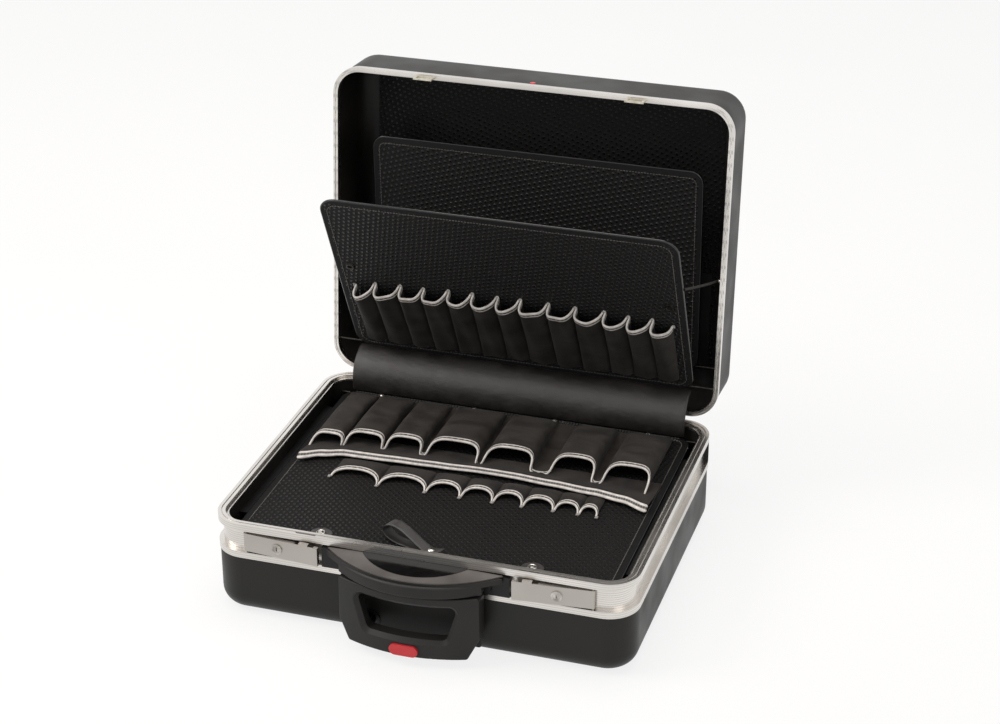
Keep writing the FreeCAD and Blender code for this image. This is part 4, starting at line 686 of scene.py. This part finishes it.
# Bright ledge over the shell's lip, with a thin raised bead along its inner edge
RIM_REACH = (245, 193.5)
RIM_CORNER = 36
ledge = bmesh.new()
for outer, inner, low, high in ((8.7, 12.3, 112.05, 113.0), (11.5, 12.5, 111.8, 114.1)):
    ring_slab(ledge, RIM_REACH, RIM_CORNER, outer, inner, low, high)
make_piece("rim_ledge", ledge, rim_aluminium, "base")


def on(place, points, height):
    """Points of a board's own plane carried to where it stands, a little above its face."""
    return [place @ (Vector((p.x, p.y, height)) * MM) for p in points]


BOARDS = (
    ("base", BASE, "base_board", (-220, 220, -178, 179, 22), BOARD_TOP, BOARD_TOP - 1.6),
    ("front", FRONT, "lid_front_board", (-214, 214, -5, 263, 21), BOARD_FACE, 0),
    ("rear", REAR, "lid_rear_board", (-205, 205, -5, 257, 15), BOARD_FACE, 0),
)
PIPING_RADIUS = 1.6
SEAM_INSET = 7.5
for name, place, body, (left, right, low, high, corner), face, middle in BOARDS:
    outline = rounded_outline(left, right, low, high, corner)
    welt(f"{name}_board_piping", on(place, outline, middle), PIPING_RADIUS, vinyl, body)
    edges = (left + SEAM_INSET, right - SEAM_INSET, low + SEAM_INSET, high - SEAM_INSET)
    seam = rounded_outline(*edges, corner - SEAM_INSET)
    up = (place.to_3x3() @ Vector((0, 0, 1))).normalized()
    seam_line = on(place, seam + seam[:1], face + 0.2)
    stitches(f"{name}_board_stitches", [(seam_line, up)], body)

# Two sewn lines behind the wide pockets' gathers, along the board's back edge
level = Vector((0, 0, 1))
rows = [[Vector((x, y, BOARD_TOP + 0.4)) * MM for x in (-206, 206)] for y in (168, 174.5)]
stitches("pocket_back_stitches", [(row, level) for row in rows], "base_board")


def tacks(name, spots, body):
    """Bar tacks: small blocks of close stitches where a pocket's mouth meets the board."""
    shape = bmesh.new()
    for spot, up in spots:
        turn = up.to_track_quat("Z", "Y").to_matrix().to_4x4()
        block = Matrix.Translation(spot) @ turn @ Matrix.Diagonal((3.6 * MM, 4.6 * MM, 1.4 * MM, 1))
        bmesh.ops.create_cube(shape, size=1, matrix=block)
    bmesh.ops.bevel(shape, geom=shape.edges[:], offset=0.35 * MM, segments=2, profile=0.5, affect="EDGES",
                    material=-1)
    return make_piece(name, shape, tack_thread, body)


outward = (FRONT.to_3x3() @ level).normalized()
spots = [(Vector((x, y + 1.5, BOARD_TOP + 3.0)) * MM, level) for x, y in WIDE_VALLEYS]
spots += [(Vector((x, y + 1, BOARD_TOP + 2.0)) * MM, level) for x, y in SMALL_VALLEYS]
tacks("base_tacks", spots, "base_board")
tacks("front_tacks", [(FRONT @ (Vector((x, s - 2, BOARD_FACE + 2)) * MM), outward) for x, s in FRONT_SEAMS],
      "lid_front_board")

# Press studs and rivets, turned from their profiles
STUD_PROFILE = ((0, 2.3), (1.6, 2.2), (2.6, 1.6), (3.0, 1.7), (3.6, 2.0), (4.3, 1.6), (4.6, 0.6), (4.6, 0))
RIVET_PROFILE = ((0, 1.7), (1.4, 1.6), (2.4, 1.1), (3.0, 0.4), (3.0, 0))
EYELET_PROFILE = ((1.9, 0), (1.9, 1.0), (2.4, 1.5), (3.2, 1.6), (4.0, 1.1), (4.2, 0))


def turned(shape, profile, place, scale=1.0):
    """A profile spun about its own axis and set in place."""
    spun = bmesh.new()
    line = [spun.verts.new((radius * scale * MM, 0, height * MM)) for radius, height in profile]
    edges = [spun.edges.new(pair) for pair in zip(line, line[1:])]
    bmesh.ops.spin(spun, geom=line + edges, cent=(0, 0, 0), axis=(0, 0, 1), angle=2 * math.pi, steps=24,
                   use_merge=True)
    bmesh.ops.remove_doubles(spun, verts=spun.verts[:], dist=0.01 * MM)
    bmesh.ops.recalc_face_normals(spun, faces=spun.faces[:])
    spun.transform(place)
    merge(shape, spun)


TAB_PLACES = {"left": -123, "right": 123}
BACK_RIVETS = (-171, -50, 52, 169)
EYELETS = (-196, 196)
studs = bmesh.new()
for across in TAB_PLACES.values():
    turned(studs, STUD_PROFILE, Matrix.Translation(Vector((across, -160, BOARD_TOP + 1.7)) * MM), 1.25)
for across in BACK_RIVETS:
    turned(studs, RIVET_PROFILE, Matrix.Translation(Vector((across, 168.5, BOARD_TOP + 3.4)) * MM))
make_piece("board_studs", studs, steel, "base_board", ("board_snaps",))
rings = bmesh.new()
for across in EYELETS:
    turned(rings, EYELET_PROFILE, FRONT @ Matrix.Translation(Vector((across, 147, BOARD_FACE)) * MM), 1.35)
make_piece("eyelet_rings", rings, dark_steel, "lid_front_board", ("eyelets",))


TAB_HALF = 13
TAB_LENGTH = 30
TAB_ROUND = 0.38


def tab(across):
    """A short rounded cloth tongue that lies over the board's front edge, under its press stud."""
    def surface(share, up):
        along = -178 + TAB_LENGTH * up
        past = max(0.0, (up - 1 + TAB_ROUND) / TAB_ROUND)
        width = TAB_HALF * min(1.0, math.sqrt(max(0.0, 1 - past ** 2)) + 0.02)
        return Vector((across + (share * 2 - 1) * width, along, BOARD_TOP + 1.1)) * MM
    return surface


for name, across in TAB_PLACES.items():
    cloth = cut_cloth(tab(across), 10, 14, 2 * TAB_HALF, TAB_LENGTH)
    stands_for = ("front_tabs",) if name == "left" else ()
    thicken(make_piece(f"front_tab_cloth_{name}", cloth, flap_nylon, "base_board", stands_for), 1.4)

# Pull strap: a band that leaves its rivet, curls up and comes back over itself to a short raised tail
STRAP = Matrix.Translation(Vector((7.7, -162.4, BOARD_TOP)) * MM) @ Matrix.Rotation(math.radians(-19), 4, "Z")
STRAP_WIDTH = 15
STRAP_LENGTH = 170
STRAP_LINE = ((12, 1.0), (-4, 1.0), (-26, 1.1), (-46, 1.6), (-57, 4.6), (-62.5, 11), (-59, 18.4), (-49, 22),
              (-37, 20), (-24, 13.6), (-11, 6.8), (-1, 4.0), (7, 5.2), (14, 8.4))


def strap_band(share, up):
    """The strap's width over its smooth bent line."""
    step = up * (len(STRAP_LINE) - 1)
    number = min(int(step), len(STRAP_LINE) - 2)
    t = step - number
    near = [Vector(STRAP_LINE[max(0, min(len(STRAP_LINE) - 1, number + k))]) for k in (-1, 0, 1, 2)]
    before, start, end, after = near
    square = 2 * before - 5 * start + 4 * end - after
    cube = 3 * start - before - 3 * end + after
    spot = 0.5 * (2 * start + (end - before) * t + square * t ** 2 + cube * t ** 3)
    return STRAP @ (Vector((spot.x, (0.5 - share) * STRAP_WIDTH, spot.y)) * MM)


cloth = cut_cloth(strap_band, 4, 52, STRAP_WIDTH, STRAP_LENGTH)
thicken(make_piece("pull_strap_band", cloth, flap_nylon, "base_board", ("pull_strap",)), 1.5)
rivet = bmesh.new()
turned(rivet, RIVET_PROFILE, STRAP @ Matrix.Translation(Vector((0, 0, 4.8)) * MM), 1.3)
make_piece("strap_rivet_head", rivet, steel, "base_board", ("strap_rivet",))


def seen_directly(tree):
    """1 for what the camera, a reflection or clear glass sees, and 0 for light that falls on the object."""
    path = add(tree, "ShaderNodeLightPath")
    seen = path.outputs["Is Camera Ray"]
    for ray in ("Is Glossy Ray", "Is Transmission Ray"):
        seen = add(tree, "ShaderNodeMath", {0: seen, 1: path.outputs[ray]}, operation="MAXIMUM").outputs[0]
    return seen


# Pale floor, which the camera sees as white with the object's shadow kept
FLOOR_GLOW = 0.82
floor_mesh = bmesh.new()
bmesh.ops.create_grid(floor_mesh, x_segments=1, y_segments=1, size=12)
floor_data = bpy.data.meshes.new("floor")
floor_mesh.to_mesh(floor_data)
floor_mesh.free()
floor = bpy.data.objects.new("floor", floor_data)
floor.location.z = -0.0002
scene.collection.objects.link(floor)
paper, tree, shader = new_material("white_studio_paper", "f2f1ef", 0.9)
where = add(tree, "ShaderNodeTexCoord").outputs["Object"]
vary(tree, shader, where, "f3f2f0", "efeeec", 400, 0.85, 0.95)
share = add(tree, "ShaderNodeMath", {0: seen_directly(tree), 1: FLOOR_GLOW}, operation="MULTIPLY")
glow = add(tree, "ShaderNodeEmission", {"Color": (1, 1, 1, 1), "Strength": 1.0})
blend = add(tree, "ShaderNodeMixShader", {0: share.outputs[0], 1: shader.outputs[0], 2: glow.outputs[0]})
tree.links.new(blend.outputs[0], tree.nodes["Material Output"].inputs["Surface"])
floor.data.materials.append(paper)

world = bpy.data.worlds.new("studio")
scene.world = world
world.use_nodes = True
tree = world.node_tree
background = tree.nodes["Background"]
background.inputs["Color"].default_value = (1, 1, 1, 1)
WORLD_LIGHT = 0.38
strength = add(tree, "ShaderNodeMapRange", {0: seen_directly(tree), 3: WORLD_LIGHT, 4: 1.0})
tree.links.new(strength.outputs[0], background.inputs["Strength"])


def soft_box(name, place, aim, width, height, power):
    """A rectangular lamp that faces a point, with a slightly warm white."""
    data = bpy.data.lights.new(name, "AREA")
    data.shape = "RECTANGLE"
    data.size, data.size_y, data.energy = width, height, power
    data.color = (1.0, 0.955, 0.915)
    lamp = bpy.data.objects.new(name, data)
    scene.collection.objects.link(lamp)
    lamp.location = place
    lamp.rotation_euler = (Vector(aim) - Vector(place)).to_track_quat("-Z", "Y").to_euler()


soft_box("key", (-2.0, -0.9, 2.3), (0, 0, 0.15), 1.5, 1.5, 50)
soft_box("fill", (2.2, -1.4, 1.6), (0, 0, 0.15), 1.6, 1.6, 8)
soft_box("top", (0, 0.3, 2.8), (0, 0, 0.1), 2.0, 1.6, 42)

scene.view_settings.view_transform = "Standard"
